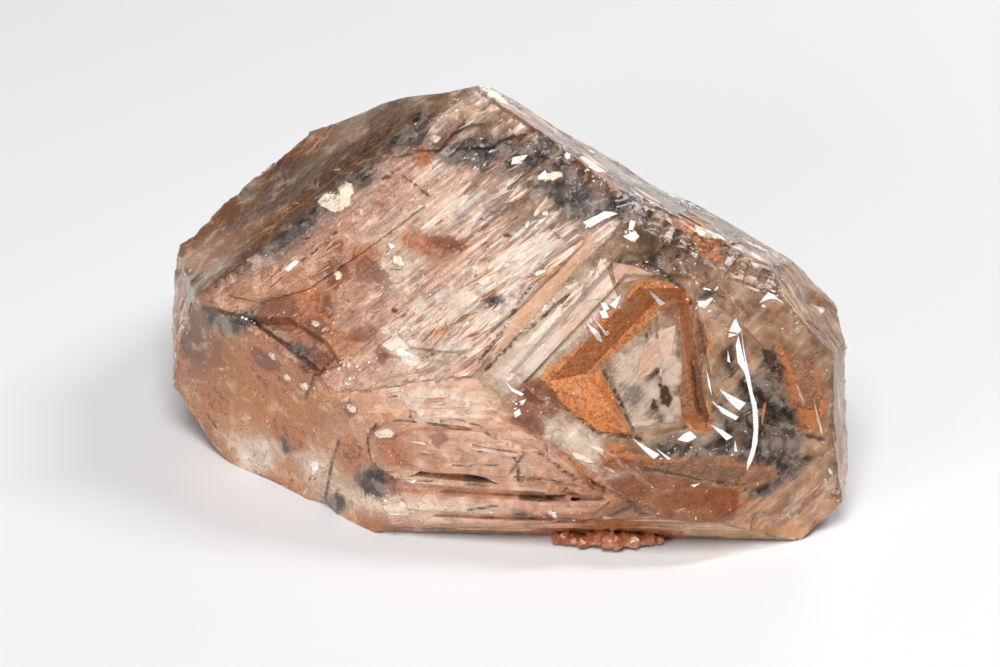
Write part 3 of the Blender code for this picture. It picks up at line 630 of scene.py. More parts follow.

# %% [markdown]
# ## Soft tints, plates and glints
# Some things have a middle and a spread and no outline. Soft tints lie in the depth, plates stand on
# the skin, and glints are tiny chips painted near white, as painted highlights where small steps mirror
# a lamp. These rows say where they lie and how far they spread, and the tables are read further on.

# %% Where the tints lie
SOFT_TINTS = [
    # tint, face, middle, how deep, half length, half width, turn, share
    ("umber", "brown", (195, 345), 0, 4.5, 3, 0, 0.75),
    ("ash", "brown", (215, 325), 0, 3.4, 1.2, 0, 0.7),
    ("umber", "brown", (150, 400), 0, 2.4, 5, 0, 0.6),
    ("honey", "brown", (262, 372), 0, 3.6, 2.6, -40, 0.6),
    ("honey", "brown", (275, 430), 0, 4.5, 2, 0, 0.6),
    ("peach", "brown", (215, 405), 0, 3.6, 2.2, 0, 0.6),
    ("cream", "brown", (252, 455), 0, 2, 2, 0, 0.8),
    ("cream", "brown", (312, 468), 0, 2.2, 2.6, 0, 0.7),
    ("cream", "brown", (330, 505), 0, 2.6, 1.4, 0, 0.7),
    ("honey", "brown", (350, 452), 0, 1.6, 1.6, 0, 0.9),
    ("brick", "brown", (318, 430), 0, 1.2, 1.8, 0, 0.8),
    ("brick", "brown", (306, 376), 0, 1.1, 1.6, 0, 0.7),
    ("ash", "brown", (284, 446), 0, 1.2, 1.2, 0, 0.8),
    ("cream", "brown", (232, 440), 0, 2.4, 1.2, 0, 0.4),
    ("umber", "brown", (190, 450), 0, 3.4, 2, 20, 0.4),
    ("umber", "great", (235, 262), 0, 7, 2.2, 45, 0.7),
    ("honey", "great", (240, 300), 0, 4, 1.6, 40, 0.4),
    ("brick", "great", (272, 322), 0, 2.4, 1.6, 20, 0.8),
    ("ash", "great", (302, 350), 0, 1.6, 1.2, 0, 0.8),
    ("rose", "great", (330, 300), 0, 6, 4.5, 50, 0.5),
    ("brick", "great", (338, 268), 0, 2, 1.6, 50, 0.5),
    ("brick", "great", (374, 275), 0, 2, 1.4, 50, 0.55),
    ("cream", "great", (398, 268), 0, 2.6, 3, 50, 0.6),
    ("rose", "great", (440, 242), 0, 5, 1.5, 20, 0.6),
    ("cream", "great", (455, 210), 0, 6, 2.4, 40, 0.5),
    ("cream", "great", (520, 262), 0, 5, 4, 52, 0.7),
    ("cream", "great", (455, 320), 0, 6, 3, 52, 0.6),
    ("cream", "great", (400, 340), 0, 3.4, 1.6, 20, 0.5),
    ("peach", "great", (465, 112), 0, 5, 2.4, 0, 0.7),
    ("umber", "great", (585, 190), 0, 4, 4, 50, 0.85),
    ("ash", "great", (480, 152), 0, 7, 1.5, 10, 0.6),
    ("umber", "great", (520, 200), 0, 3, 2, 0, 0.5),
    ("ash", "great", (300, 228), 0, 7, 1.6, 52, 0.6),
    ("rose", "great", (345, 352), 0, 2.6, 1.6, 0, 0.7),
    ("brick", "great", (322, 362), 0, 1.6, 1, 0, 0.6),
    ("ash", "great", (496, 302), 0, 1.2, 0.6, 0, 0.8),
    ("honey", "great", (305, 292), 0, 3, 1.6, 40, 0.5),
    ("umber", "great", (640, 235), 0, 2, 1.6, 0, 0.7),
    ("cream", "terraced", (440, 402), 0, 4.6, 1.6, 0, 0.8),
    ("rose", "terraced", (400, 452), 0, 3, 3, 0, 0.6),
    ("brick", "terraced", (392, 440), 0, 1.6, 1.8, -30, 0.6),
    ("peach", "terraced", (500, 445), 0, 6, 3, 0, 0.6),
    ("rose", "terraced", (540, 482), 0, 5, 1.8, -10, 0.5),
    ("honey", "terraced", (622, 512), 0, 2.6, 1.4, 0, 0.9),
    ("rose", "terraced", (350, 430), 0, 2.4, 3, 0, 0.6),
    ("ash", "terraced", (372, 480), 0, 1.6, 1.8, 0, 0.8),
    ("cream", "terraced", (400, 508), 0, 5, 1.4, 0, 0.8),
    ("brick", "terraced", (388, 486), 0, 1, 1.2, 0, 0.7),
    ("cream", "terraced", (460, 506), 0, 5, 1.2, 0, 0.6),
    ("rose", "terraced", (600, 480), 0, 2.6, 1.6, -30, 0.5),
    ("cream", "window", (550, 330), 0, 6.5, 2, 45, 0.8),
    ("umber", "window", (645, 264), 0, 3.6, 1, -10, 0.45),
    ("brick", "window", (530, 396), 0, 1.8, 2, 0, 0.85),
    ("rose", "window", (525, 430), 0, 2.4, 1.6, -40, 0.7),
    ("cream", "window", (580, 440), 0, 3.4, 1.4, -30, 0.8),
    ("brick", "window", (632, 496), 0, 3.2, 1.6, -10, 0.85),
    ("honey", "window", (704, 500), 0, 4, 1.4, 0, 0.85),
    ("honey", "window", (750, 486), 0, 2, 1.2, 10, 0.6),
    ("umber", "window", (735, 310), 0, 2, 2, 0, 0.35),
    ("ash", "window", (776, 440), 0, 2.6, 4, 0, 0.7),
    ("umber", "window", (772, 362), 0, 1.2, 1.4, 0, 0.8),
    ("ash", "window", (715, 440), 0, 3.4, 1.8, 0, 0.6),
    ("honey", "window", (800, 390), 0, 1.4, 4.4, 15, 0.6),
    ("umber", "window", (655, 395), 4.4, 2.6, 2.6, 0, 0.3),
    ("cream", "window", (640, 350), 4.4, 3, 2, 0, 0.6),
    ("peach", "corner", (806, 496), 0, 4, 2.4, 30, 0.6),
    ("cream", "corner", (832, 478), 0, 1.2, 2.2, 0, 0.6),
    ("umber", "corner", (775, 516), 0, 2, 1.2, 20, 0.5),
    ("umber", "right_band", (818, 330), 0, 2, 3, 0, 0.35),
    ("honey", "right_band", (812, 392), 0, 1.6, 4.4, 0, 0.7),
    ("peach", "right_band", (838, 420), 0, 1.2, 5, 0, 0.7),
    ("umber", "shoulder", (718, 230), 0, 2.6, 1.4, 0, 0.7),
    ("peach", "shoulder", (765, 262), 0, 3.4, 1.8, -30, 0.6),
    ("umber", "shoulder", (795, 312), 0, 1.8, 2, 0, 0.35),
    ("ash", "shoulder", (730, 238), 0, 1.8, 1, 0, 0.6),
    ("cream", "fluted", (702, 298), 0, 3.4, 1.2, -10, 0.6),
    ("umber", "fluted", (680, 248), 0, 2.4, 1, -20, 0.4),
    ("peach", "fluted", (742, 300), 0, 2.4, 1.6, -50, 0.5),
    ("umber", "bevel", (300, 175), 0, 9, 3, 60, 0.5),
    ("honey", "bevel", (225, 238), 0, 4, 1.6, 60, 0.5),
    ("honey", "bevel", (345, 135), 0, 4, 1.2, 60, 0.4),
    ("umber", "top_band", (650, 165), 0, 14, 3, -30, 0.6),
    ("brick", "under_front", (600, 528), 0, 5, 1.2, 0, 0.7),
    ("honey", "under_front", (680, 528), 0, 4, 1.2, 0, 0.6),
    ("brick", "under_front", (610, 548), 0, 6, 4, 0, 0.9),
    ("honey", "under_front", (640, 545), 0, 2, 3, 0, 0.6),
    ("peach", "window", (800, 300), 0, 3, 2, 0, 0.6),
    ("peach", "window", (700, 300), 0, 2, 2, 0, 0.5),
    ("brick", "great", (300, 305), 0, 4.5, 2.6, 30, 0.6),
    ("rose", "great", (380, 330), 0, 4, 2, 30, 0.6),
    ("brick", "great", (352, 262), 0, 3, 1.4, 50, 0.4),
    ("rose", "great", (260, 300), 0, 3.6, 2, 40, 0.6),
    ("ash", "window", (640, 385), 4.4, 3.6, 3, 0, 0.45),
    ("umber", "great", (420, 118), 0, 2, 1.4, 0, 0.6),
    ("umber", "great", (560, 165), 0, 4, 1.4, 10, 0.6),
    ("rose", "terraced", (450, 440), 0, 4, 2.2, 0, 0.5),
    ("rose", "terraced", (540, 450), 0, 4, 1.6, -10, 0.5),
    ("peach", "corner", (815, 490), 0, 4.5, 4.5, 0, 0.5),
    ("umber", "great", (470, 125), 0, 3.6, 1.4, 15, 0.75),
    ("umber", "great", (520, 140), 0, 4, 1.3, 20, 0.75),
    ("ash", "great", (600, 170), 4.4, 4.5, 2, 20, 0.8),
    ("ash", "great", (650, 200), 4.4, 4, 2, 30, 0.8),
    ("umber", "great", (640, 175), 0, 4, 1.6, 30, 0.8),
    ("umber", "great", (680, 225), 0, 2.6, 2, 40, 0.75),
    ("ash", "great", (560, 185), 4.4, 3.5, 1.2, 35, 0.6),
    ("umber", "fluted", (720, 260), 0, 3, 2, 0, 0.6),
    ("ash", "fluted", (745, 300), 4.4, 3, 1.6, 0, 0.5),
    ("cream", "brown", (256, 450), 0, 3, 2.2, 20, 0.7),
    ("honey", "brown", (290, 425), 0, 3, 1.6, 0, 0.6),
    ("cream", "brown", (320, 462), 0, 2.6, 2, 0, 0.6),
    ("cream", "brown", (350, 492), 0, 3, 1.6, 0, 0.7),
    ("peach", "brown", (345, 445), 0, 2.4, 2.4, 0, 0.6),
    ("ash", "brown", (205, 432), 0, 2.6, 1.4, 30, 0.5),
    ("rose", "window", (745, 330), 0, 3, 3.6, 0, 0.4),
    ("rose", "window", (790, 320), 0, 3, 3, 0, 0.4),
    ("peach", "window", (765, 380), 0, 2, 3, 0, 0.35),
    ("rose", "window", (715, 285), 0, 3, 2, 0, 0.4),
    ("honey", "corner", (815, 480), 0, 4, 3, 0, 0.5),
    ("honey", "window", (690, 500), 0, 4, 1, 0, 0.6),
    ("peach", "window", (650, 505), 0, 2.4, 0.8, 0, 0.6),
    ("honey", "window", (725, 500), 0, 2, 1, 0, 0.7),
    ("ash", "bevel", (235, 225), 0, 5, 1.2, 109, 0.5),
    ("ash", "bevel", (290, 182), 0, 5, 1.2, 109, 0.5),
    ("umber", "bevel", (365, 145), 0, 4, 1, 109, 0.6),
    ("honey", "bevel", (262, 232), 0, 5, 0.9, 109, 0.4),
    ("peach", "bevel", (330, 150), 0, 3, 0.8, 109, 0.4),
]
TINTS = [(tint, face, seen(face, spot, sunk), *rest) for tint, face, spot, sunk, *rest in SOFT_TINTS]
print("soft tints:", len(TINTS))

# %% Where the plates lie
PLATE_FIELDS = [
    # face, middle, how deep, half width, half height, turn, growth direction, count, length, width, tone
    ("great", (500, 300), 0, 9, 4.5, 50, 52, 117, 2.81, 0.4, 0.72),
    ("great", (425, 340), 0, 5.5, 3.2, 20, 48, 78, 1.72, 0.36, 0.55),
    ("great", (340, 330), 0, 4, 3, 40, 50, 34, 1.25, 0.28, 0.5),
    ("great", (470, 230), 0, 9, 3, 48, 52, 52, 2.03, 0.24, 0.6),
    ("great", (300, 270), 0, 7, 2.6, 50, 52, 34, 2.18, 0.22, 0.45),
    ("great", (500, 160), 0, 6.5, 1.2, 10, 56, 47, 1.72, 0.24, 0.2),
    ("terraced", (460, 435), 0, 8, 3.6, 0, 4, 46, 3.8, 0.42, 0.42),
    ("terraced", (430, 395), 0, 5, 2, 0, 10, 26, 2.6, 0.5, 0.7),
    ("terraced", (560, 475), 0, 7, 3, -20, -6, 26, 4.4, 0.36, 0.34),
    ("terraced", (380, 500), 0, 3.2, 1.6, 0, 0, 24, 1.8, 0.4, 0.6),
    ("window", (560, 330), 0.3, 7.5, 2, 48, 46, 26, 5, 0.4, 0.8),
    ("window", (570, 450), 0.3, 3, 2.4, 0, -35, 16, 2.6, 0.5, 0.75),
    ("window", (770, 430), 0.5, 1.8, 4.5, 0, 80, 8, 2.4, 0.24, 0.25),
    ("window", (810, 400), 0.3, 1.2, 4, 0, -75, 8, 3.4, 0.36, 0.45),
    ("window", (655, 375), 4.4, 2.4, 3.4, 0, 70, 10, 2, 0.3, 0.75),
    ("fluted", (690, 275), 0, 4.5, 2.2, -30, -50, 50, 1.5, 0.35, 0.62),
    ("corner", (810, 495), 0, 3.4, 1.6, 35, 40, 6, 2.6, 0.3, 0.45),
    ("right_band", (828, 420), 0, 1.8, 5, 0, 80, 20, 2.8, 0.4, 0.45),
    ("shoulder", (740, 240), 0, 5, 1.6, -25, -30, 26, 2.2, 0.35, 0.45),
    ("brown", (250, 400), 0, 6, 4, 0, 70, 14, 1.6, 0.35, 0.55),
    ("brown", (310, 480), 0, 2.4, 3, 0, 60, 22, 1.4, 0.4, 0.65),
]
ZONES = [(face, seen(face, spot, sunk), *rest) for face, spot, sunk, *rest in PLATE_FIELDS]
print("fields of plates:", len(ZONES))

# %% Where the glints lie
GLINT_FIELDS = [
    # face, middle, how deep, half width, half height, turn, count, size, stretch
    ("fluted", (712, 290), 0, 2.4, 1.6, -20, 46, 0.5, 2.6),
    ("fluted", (690, 262), 0, 1.6, 1.2, -40, 14, 0.4, 2),
    ("fluted", (772, 290), 0, 1.3, 1.2, -50, 14, 0.45, 1.6),
    ("great", (580, 160), 0, 3.2, 0.8, -35, 16, 0.4, 1.5),
    ("great", (628, 228), 0, 1, 1, -30, 10, 0.45, 1.4),
    ("great", (600, 218), 0, 2.2, 0.6, 30, 16, 0.4, 2.6),
    ("great", (350, 370), 0, 3, 1.8, 30, 20, 0.42, 1.6),
    ("great", (470, 160), 0, 4.6, 1.2, 50, 30, 0.35, 3.4),
    ("great", (430, 300), 0, 6, 4, 50, 46, 0.3, 2.4),
    ("great", (248, 320), 0, 0.7, 0.4, 0, 6, 0.35, 1.6),
    ("great", (455, 110), 0, 4.5, 1.4, 20, 16, 0.35, 1.5),
    ("window", (600, 322), 0.3, 1.2, 2.2, -60, 16, 0.4, 3.4),
    ("window", (655, 270), 0.2, 3, 0.8, -25, 16, 0.3, 2.4),
    ("window", (650, 451), 0.5, 1.4, 0.6, -35, 10, 0.35, 2.4),
    ("window", (515, 408), 0.2, 0.9, 1, 0, 8, 0.3, 1.5),
    ("window", (700, 450), 0.5, 4, 0.7, 0, 16, 0.3, 2),
    ("corner", (834, 482), 0, 0.9, 1.8, 60, 12, 0.35, 1.4),
    ("corner", (790, 515), 0, 2.6, 0.6, -20, 10, 0.25, 1.4),
    ("terraced", (500, 511), 0, 12, 0.7, 0, 40, 0.35, 1.6),
    ("terraced", (400, 450), 0, 2.6, 2.6, -60, 18, 0.3, 2),
    ("terraced", (470, 425), 0, 6, 2.4, 0, 24, 0.26, 2.6),
    ("brown", (306, 385), 0, 1.2, 1.4, 80, 10, 0.35, 1.4),
    ("brown", (314, 466), 0, 1.4, 1.6, 80, 12, 0.4, 1.3),
    ("shoulder", (725, 226), 0, 2.4, 0.9, -40, 14, 0.35, 1.6),
]
GLINTS = [(face, seen(face, spot, sunk), *rest) for face, spot, sunk, *rest in GLINT_FIELDS]
print("fields of glints:", len(GLINTS))

# %% [markdown]
# ## Stains on the far sides
# The far sides get stains, tints, plates and glints of the same kinds, strewn along each face's own
# growth lines by a seeded draw, so that they look as rich as the front and are the same each run.

# %% A draw of places
draw = random.Random(7)
BLOB_CORNERS = 9
SEAM_AND_SHADE_STEP, SEAM_AND_SHADE_PLACES, SEAM_AND_SHADE_SWAY = 1.6, 5, 0.4


def blob(middle, length, width, turn):
    corners = []
    for step in range(BLOB_CORNERS):
        angle, reach = math.tau * step / BLOB_CORNERS, draw.uniform(0.55, 1.25)
        x, y = length * reach * math.cos(angle), width * reach * math.sin(angle)
        corners.append((middle[0] + x * math.cos(turn) - y * math.sin(turn),
                        middle[1] + x * math.sin(turn) + y * math.cos(turn)))
    return corners


def wander(start, turn):
    """A path that wanders off in one direction."""
    stride = (SEAM_AND_SHADE_STEP * math.cos(turn), SEAM_AND_SHADE_STEP * math.sin(turn))
    return [[start[axis] + step * stride[axis] + draw.gauss(0, SEAM_AND_SHADE_SWAY) for axis in (0, 1)]
            for step in range(SEAM_AND_SHADE_PLACES)]


def somewhere(face, reach=1.0):
    """A place on a face, drawn about its middle."""
    own = places[face][nearest == names.index(face)]
    return [draw.gauss(own[:, axis].mean(), own[:, axis].std() * reach) for axis in (0, 1)]


# %% Scattered stains
FAR_SIDES = ("back_left", "back_top_left", "back_right", "back_right_side", "back", "back_left_side", "under",
             "sliver", "top_band")
SCATTER = {
    # kind of stain: (count, half length, half width)
    "clear_painted_dark": (3, 4.2, 1.2), "pale": (3, 3.4, 1.2), "rust": (4, 1.5, 0.7), "amber": (3, 2.6, 1.0),
    "cream": (5, 0.55, 0.32),
}
FAR_TINTS = ("cream", "cream", "peach", "rose", "umber", "ash", "honey", "umber", "brick", "cream", "peach",
             "ash")
STREWN_DEPTH = 0.3
SEAM_AND_SHADE_DEPTH, SEAM_AND_SHADE_WIDTH = 0.2, 0.12
# The tones of the plates and how many of each, and a plate's length and width.
FAR_PLATES = ((0.75, 26), (0.5, 20), (0.2, 8))
PLATE_SIZE = (2.8, 0.42)
FAR_GLINTS, GLINT_SPREAD = 3, (1.6, 0.9)
# How many chips there are in a glint, their size and how long they are for their width.
GLINT_CHIPS = (8, 0.35, 2.0)
for face in FAR_SIDES:
    lie = SKIN[face][3]
    spread = places[face][nearest == names.index(face)].std(0) * 1.5
    for kind, (count, length, width) in SCATTER.items():
        for number in range(count):
            size = draw.uniform(0.6, 1.3)
            turn = math.radians(lie + draw.gauss(0, 8))
            outline = blob(somewhere(face, 0.9), length * size, width * size, turn)
            PATCHES[kind].append((face, STREWN_DEPTH, outline))
    # Each far side gets a line of the seam kind, which paints cracks and step shade alike.
    start, turn = somewhere(face, 0.7), math.radians(lie + draw.gauss(0, 20))
    LINES["seam_and_shade"].append((face, SEAM_AND_SHADE_DEPTH, SEAM_AND_SHADE_WIDTH, wander(start, turn)))
    for tint in FAR_TINTS:
        middle, length, width = somewhere(face), draw.uniform(2, 5), draw.uniform(1, 2.6)
        TINTS.append((tint, face, middle, length, width, lie, draw.uniform(0.5, 0.85)))
    for tone, count in FAR_PLATES:
        ZONES.append((face, somewhere(face, 0.4), spread[0], spread[1], 0, lie, count, *PLATE_SIZE, tone))
    for number in range(FAR_GLINTS):
        GLINTS.append((face, somewhere(face), *GLINT_SPREAD, lie, *GLINT_CHIPS))
print("stains, tints, plates and glints strewn over", len(FAR_SIDES), "far sides")

# %% [markdown]
# ## Distances on the net
# Paint is laid by numbers that each point of the net stores. For a stain it is the distance in
# millimetres inside its outline, below nought outside. Only points that lie about as deep as the
# stain take it, so a stain on the window's floor doesn't show on the frame in front of it.

# %% Distances
def from_stretch(across, up, start, end):
    """How far points lie from a straight stretch between two places."""
    (ax, ay), (bx, by) = start, end
    dx, dy = bx - ax, by - ay
    along = np.clip(((across - ax) * dx + (up - ay) * dy) / (dx * dx + dy * dy + 1e-9), 0, 1)
    return np.hypot(across - ax - along * dx, up - ay - along * dy)


def inside_patch(across, up, outline):
    """How far inside an outline points lie. Below nought is outside."""
    corners = np.array(outline)
    closest = np.full(len(across), 1e3)
    inside = np.zeros(len(across), bool)
    for (ax, ay), (bx, by) in zip(corners, np.roll(corners, -1, 0)):
        closest = np.minimum(closest, from_stretch(across, up, (ax, ay), (bx, by)))
        crossing = (bx - ax) * (up - ay) / (by - ay + 1e-9) + ax
        inside ^= ((ay > up) != (by > up)) & (across < crossing)
    return np.where(inside, closest, -closest)


def inside_line(across, up, path, width):
    """How far inside a line of some width points lie."""
    stretches = [from_stretch(across, up, start, end) for start, end in zip(path, path[1:])]
    return width / 2 - np.min(stretches, 0)


# %% Store the distances
FAR = -2.0
# How deep a stain lies on the window's walls and on its floor, and the points that each can reach.
ON_WALLS, ON_FLOOR = 1, 4
SKIN_DEPTH, WALL_DEPTH = -2.6, -4.6
FLOOR_TOP, FLOOR_DEPTH = -2.4, -5.5


def store(piece, name, values, kind="FLOAT"):
    attribute = piece.data.attributes.new(name, kind, "POINT")
    field = "vector" if kind == "FLOAT_VECTOR" else "value"
    attribute.data.foreach_set(field, np.ascontiguousarray(values, np.float32).reshape(-1))


def reached(out, sunk):
    """The points that a stain can lie on, by how far out they stand and how deep it is sunk."""
    if sunk >= ON_FLOOR:
        return (out < FLOOR_TOP) & (out > FLOOR_DEPTH)
    return out > (WALL_DEPTH if sunk >= ON_WALLS else SKIN_DEPTH)


for kind in sorted(PATCHES.keys() | LINES.keys()):
    distance = np.full(len(points), FAR)
    rows = [(face, sunk, inside_patch, (outline,)) for face, sunk, outline in PATCHES.get(kind, [])]
    rows += [(face, sunk, inside_line, (path, width)) for face, sunk, width, path in LINES.get(kind, [])]
    for face, sunk, measure, shape in rows:
        across, up, out = places[face].T
        near = reached(out, sunk)
        distance[near] = np.maximum(distance[near], measure(across[near], up[near], *shape))
    store(body, kind, distance)
    print(kind + ":", (distance > 0).sum(), "points inside")

# %% [markdown]
# ## Colours on the net
# Each point also takes its face's colour, its milkiness and its place along the growth lines. The
# crust of small crystals under the front edge is rusty all through, so it is coloured by its place.

# %% Face colours
CRUST_LEFT, CRUST_RIGHT, CRUST_BACK, CRUST_TOP = 2.5, 17.5, -19.4, 2.0
CRUST_COLOUR, CRUST_MILK = (0.46, 0.13, 0.05), 0.95
colour, milk, comb = (np.array([SKIN[name][part] for name in names])[nearest] for part in range(3))
x, y, z = points.T / MM
crust = (x > CRUST_LEFT) & (x < CRUST_RIGHT) & (y < CRUST_BACK) & (z < CRUST_TOP)
colour[crust], milk[crust], comb[crust] = CRUST_COLOUR, CRUST_MILK, 0.0
print("points of the rusty crust:", crust.sum())

# %% Growth lines
grain = np.zeros((len(points), 3))
for index, name in enumerate(names):
    lie, length, width = SKIN[name][3:]
    lie = math.radians(lie)
    across, up, out = places[name].T
    along = across * math.cos(lie) + up * math.sin(lie)
    side = up * math.cos(lie) - across * math.sin(lie)
    here = nearest == index
    # The last number keeps the pattern of one face apart from the next one's.
    grain[here] = np.stack([along / length, side / width, out / width + 7.3 * index], 1)[here]
store(body, "comb", comb)
store(body, "grain", grain, "FLOAT_VECTOR")
print("growth lines stored for", len(names), "faces")

# %% [markdown]
# ## Soft tints in the depth
# Inside the clear quartz lie veils of rust and milk that show through as soft, blurred clouds. A soft
# cloud is blended into the points' own colour, strongest at its middle and fading out with distance.

# %% Tint table
PALETTE = {
    # tint: (colour, milkiness)
    "umber": ((0.17, 0.09, 0.045), 0.55), "ash": ((0.26, 0.22, 0.19), 0.50),
    "honey": ((0.62, 0.25, 0.07), 0.85), "peach": ((0.70, 0.42, 0.25), 0.85),
    "rose": ((0.62, 0.32, 0.20), 0.85), "cream": ((0.90, 0.74, 0.58), 0.90),
    "brick": ((0.40, 0.12, 0.05), 0.88),
}
# Iron warms all of the quartz a little.
WARMTH = (1.08, 0.95, 0.78)

# %% Blend the tints
colour = colour * WARMTH
for tint, face, (middle_across, middle_up), length, width, turn, share in TINTS:
    across, up, out = places[face].T
    across, up, turn = across - middle_across, up - middle_up, math.radians(turn)
    along = across * math.cos(turn) + up * math.sin(turn)
    side = up * math.cos(turn) - across * math.sin(turn)
    reach = (out > FLOOR_DEPTH) * np.clip(1.6 + out / 3.5, 0, 1)
    part = share * np.exp(-(along / length) ** 2 - (side / width) ** 2) * reach
    tint_colour, tint_milk = PALETTE[tint]
    colour += (np.array(tint_colour) - colour) * part[:, None]
    milk = milk + (tint_milk - milk) * part
store(body, "pigment", colour, "FLOAT_VECTOR")
store(body, "milk", milk)
print(len(TINTS), "tints blended")

# %% Clouds and frayed growth lines
CLOUD_SIZE, FRAY_SIZE = 5.0, 2.2
FRAY = (0.14, 0.20, 0.12)


def drifting(size, octaves, shift):
    """A soft noise at each point of the net: nought on average, about one at its crests."""
    spots = points / size + shift
    values = np.array([noise.fractal(spot, 0.8, 2.1, octaves) for spot in spots.tolist()])
    return (values - values.mean()) / values.std()


store(body, "clouds", 0.5 + 0.11 * drifting(CLOUD_SIZE, 4, (3.1, 7.7, 1.9)))
drift = np.stack([drifting(FRAY_SIZE, 2, (start, 2.0 * start, 5.3)) for start in (11.0, 23.0, 37.0)], 1)
store(body, "plates", grain + drift * FRAY, "FLOAT_VECTOR")
print("clouds and frayed lines stored at", len(points), "points")

# %% [markdown]
# ## How a finish is painted
# A finish is a small tree of nodes. The nodes could be made and linked one by one, but a few of them
# are used dozens of times here, so the paint box below gives those short names.

# %% Paint box
class Paint:
    """A material's node tree, with short names for the nodes that are used most."""

    def __init__(self, name):
        self.material = bpy.data.materials.new(name)
        self.material.use_nodes = True
        self.tree = self.material.node_tree
        self.surface = self.tree.nodes["Principled BSDF"]
        self.place = self.tree.nodes.new("ShaderNodeTexCoord").outputs["Object"]

    def node(self, kind, **settings):
        made = self.tree.nodes.new("ShaderNode" + kind)
        for name, value in settings.items():
            setattr(made, name, value)
        return made

    def put(self, socket, value):
        """Links a socket to another, or sets it to a plain value."""
        if isinstance(value, bpy.types.NodeSocket):
            self.tree.links.new(value, socket)
        else:
            socket.default_value = value

    def set(self, **sockets):
        for name, value in sockets.items():
            self.put(self.surface.inputs[name.replace("_", " ")], value)

    def math(self, operation, first, second=0.0, clamp=False):
        made = self.node("Math", operation=operation, use_clamp=clamp)
        self.put(made.inputs[0], first)
        self.put(made.inputs[1], second)
        return made.outputs[0]

    def add(self, *values):
        total = values[0]
        for value in values[1:]:
            total = self.math("ADD", total, value)
        return total

    def times(self, first, second):
        return self.math("MULTIPLY", first, second)

    def without(self, mask, share=1.0):
        """One minus a share of a mask."""
        return self.math("SUBTRACT", 1.0, self.times(mask, share))

    def most(self, *values):
        top = values[0]
        for value in values[1:]:
            top = self.math("MAXIMUM", top, value)
        return top

    def ramp(self, value, low, high, to_low=0.0, to_high=1.0):
        made = self.node("MapRange", interpolation_type="SMOOTHSTEP")
        for socket, given in zip(made.inputs[:5], (value, low, high, to_low, to_high)):
            self.put(socket, given)
        return made.outputs[0]

    def mix(self, factor, first, second):
        made = self.node("Mix", data_type="RGBA", clamp_result=True)
        # A Mix node has sockets for every kind of value. Those of the colours are the ones used here.
        factor_socket, *_, first_colour, second_colour = made.inputs[:8]
        self.put(factor_socket, factor)
        self.put(first_colour, first)
        self.put(second_colour, second)
        return made.outputs[2]

    def shade(self, colour, amount):
        """A colour made darker or lighter by an amount."""
        made = self.node("VectorMath", operation="SCALE")
        self.put(made.inputs[0], colour)
        self.put(made.inputs["Scale"], amount)
        return made.outputs[0]

    def stored(self, name, output="Fac"):
        return self.node("Attribute", attribute_name=name).outputs[output]

    def stretched(self, vector, scale, offset=(0, 0, 0)):
        made = self.node("VectorMath", operation="MULTIPLY_ADD")
        for socket, given in zip(made.inputs[:3], (vector, scale, offset)):
            self.put(socket, given)
        return made.outputs[0]

    def noise(self, vector, scale, detail=4.0, roughness=0.6, distortion=0.0):
        made = self.node("TexNoise")
        given = {"Vector": vector, "Scale": scale, "Detail": detail, "Roughness": roughness}
        given["Distortion"] = distortion
        for name, value in given.items():
            self.put(made.inputs[name], value)
        return made.outputs["Fac"]

    def cells(self, vector):
        """A different random number on each cell of a net of sharp-edged cells."""
        made = self.node("TexVoronoi")
        self.put(made.inputs["Vector"], vector)
        self.put(made.inputs["Scale"], 1.0)
        self.put(made.inputs["Randomness"], 1.0)
        apart = self.node("SeparateXYZ")
        self.put(apart.inputs[0], made.outputs["Color"])
        return apart.outputs[0]

    def off(self, noise, amount):
        """A noise about nought, that runs half an amount each way."""
        return self.times(self.math("SUBTRACT", noise, 0.5), amount)

    def bump(self, height, distance, strength):
        made = self.node("Bump")
        self.put(made.inputs["Height"], height)
        self.put(made.inputs["Distance"], distance)
        self.put(made.inputs["Strength"], strength)
        return made.outputs["Normal"]
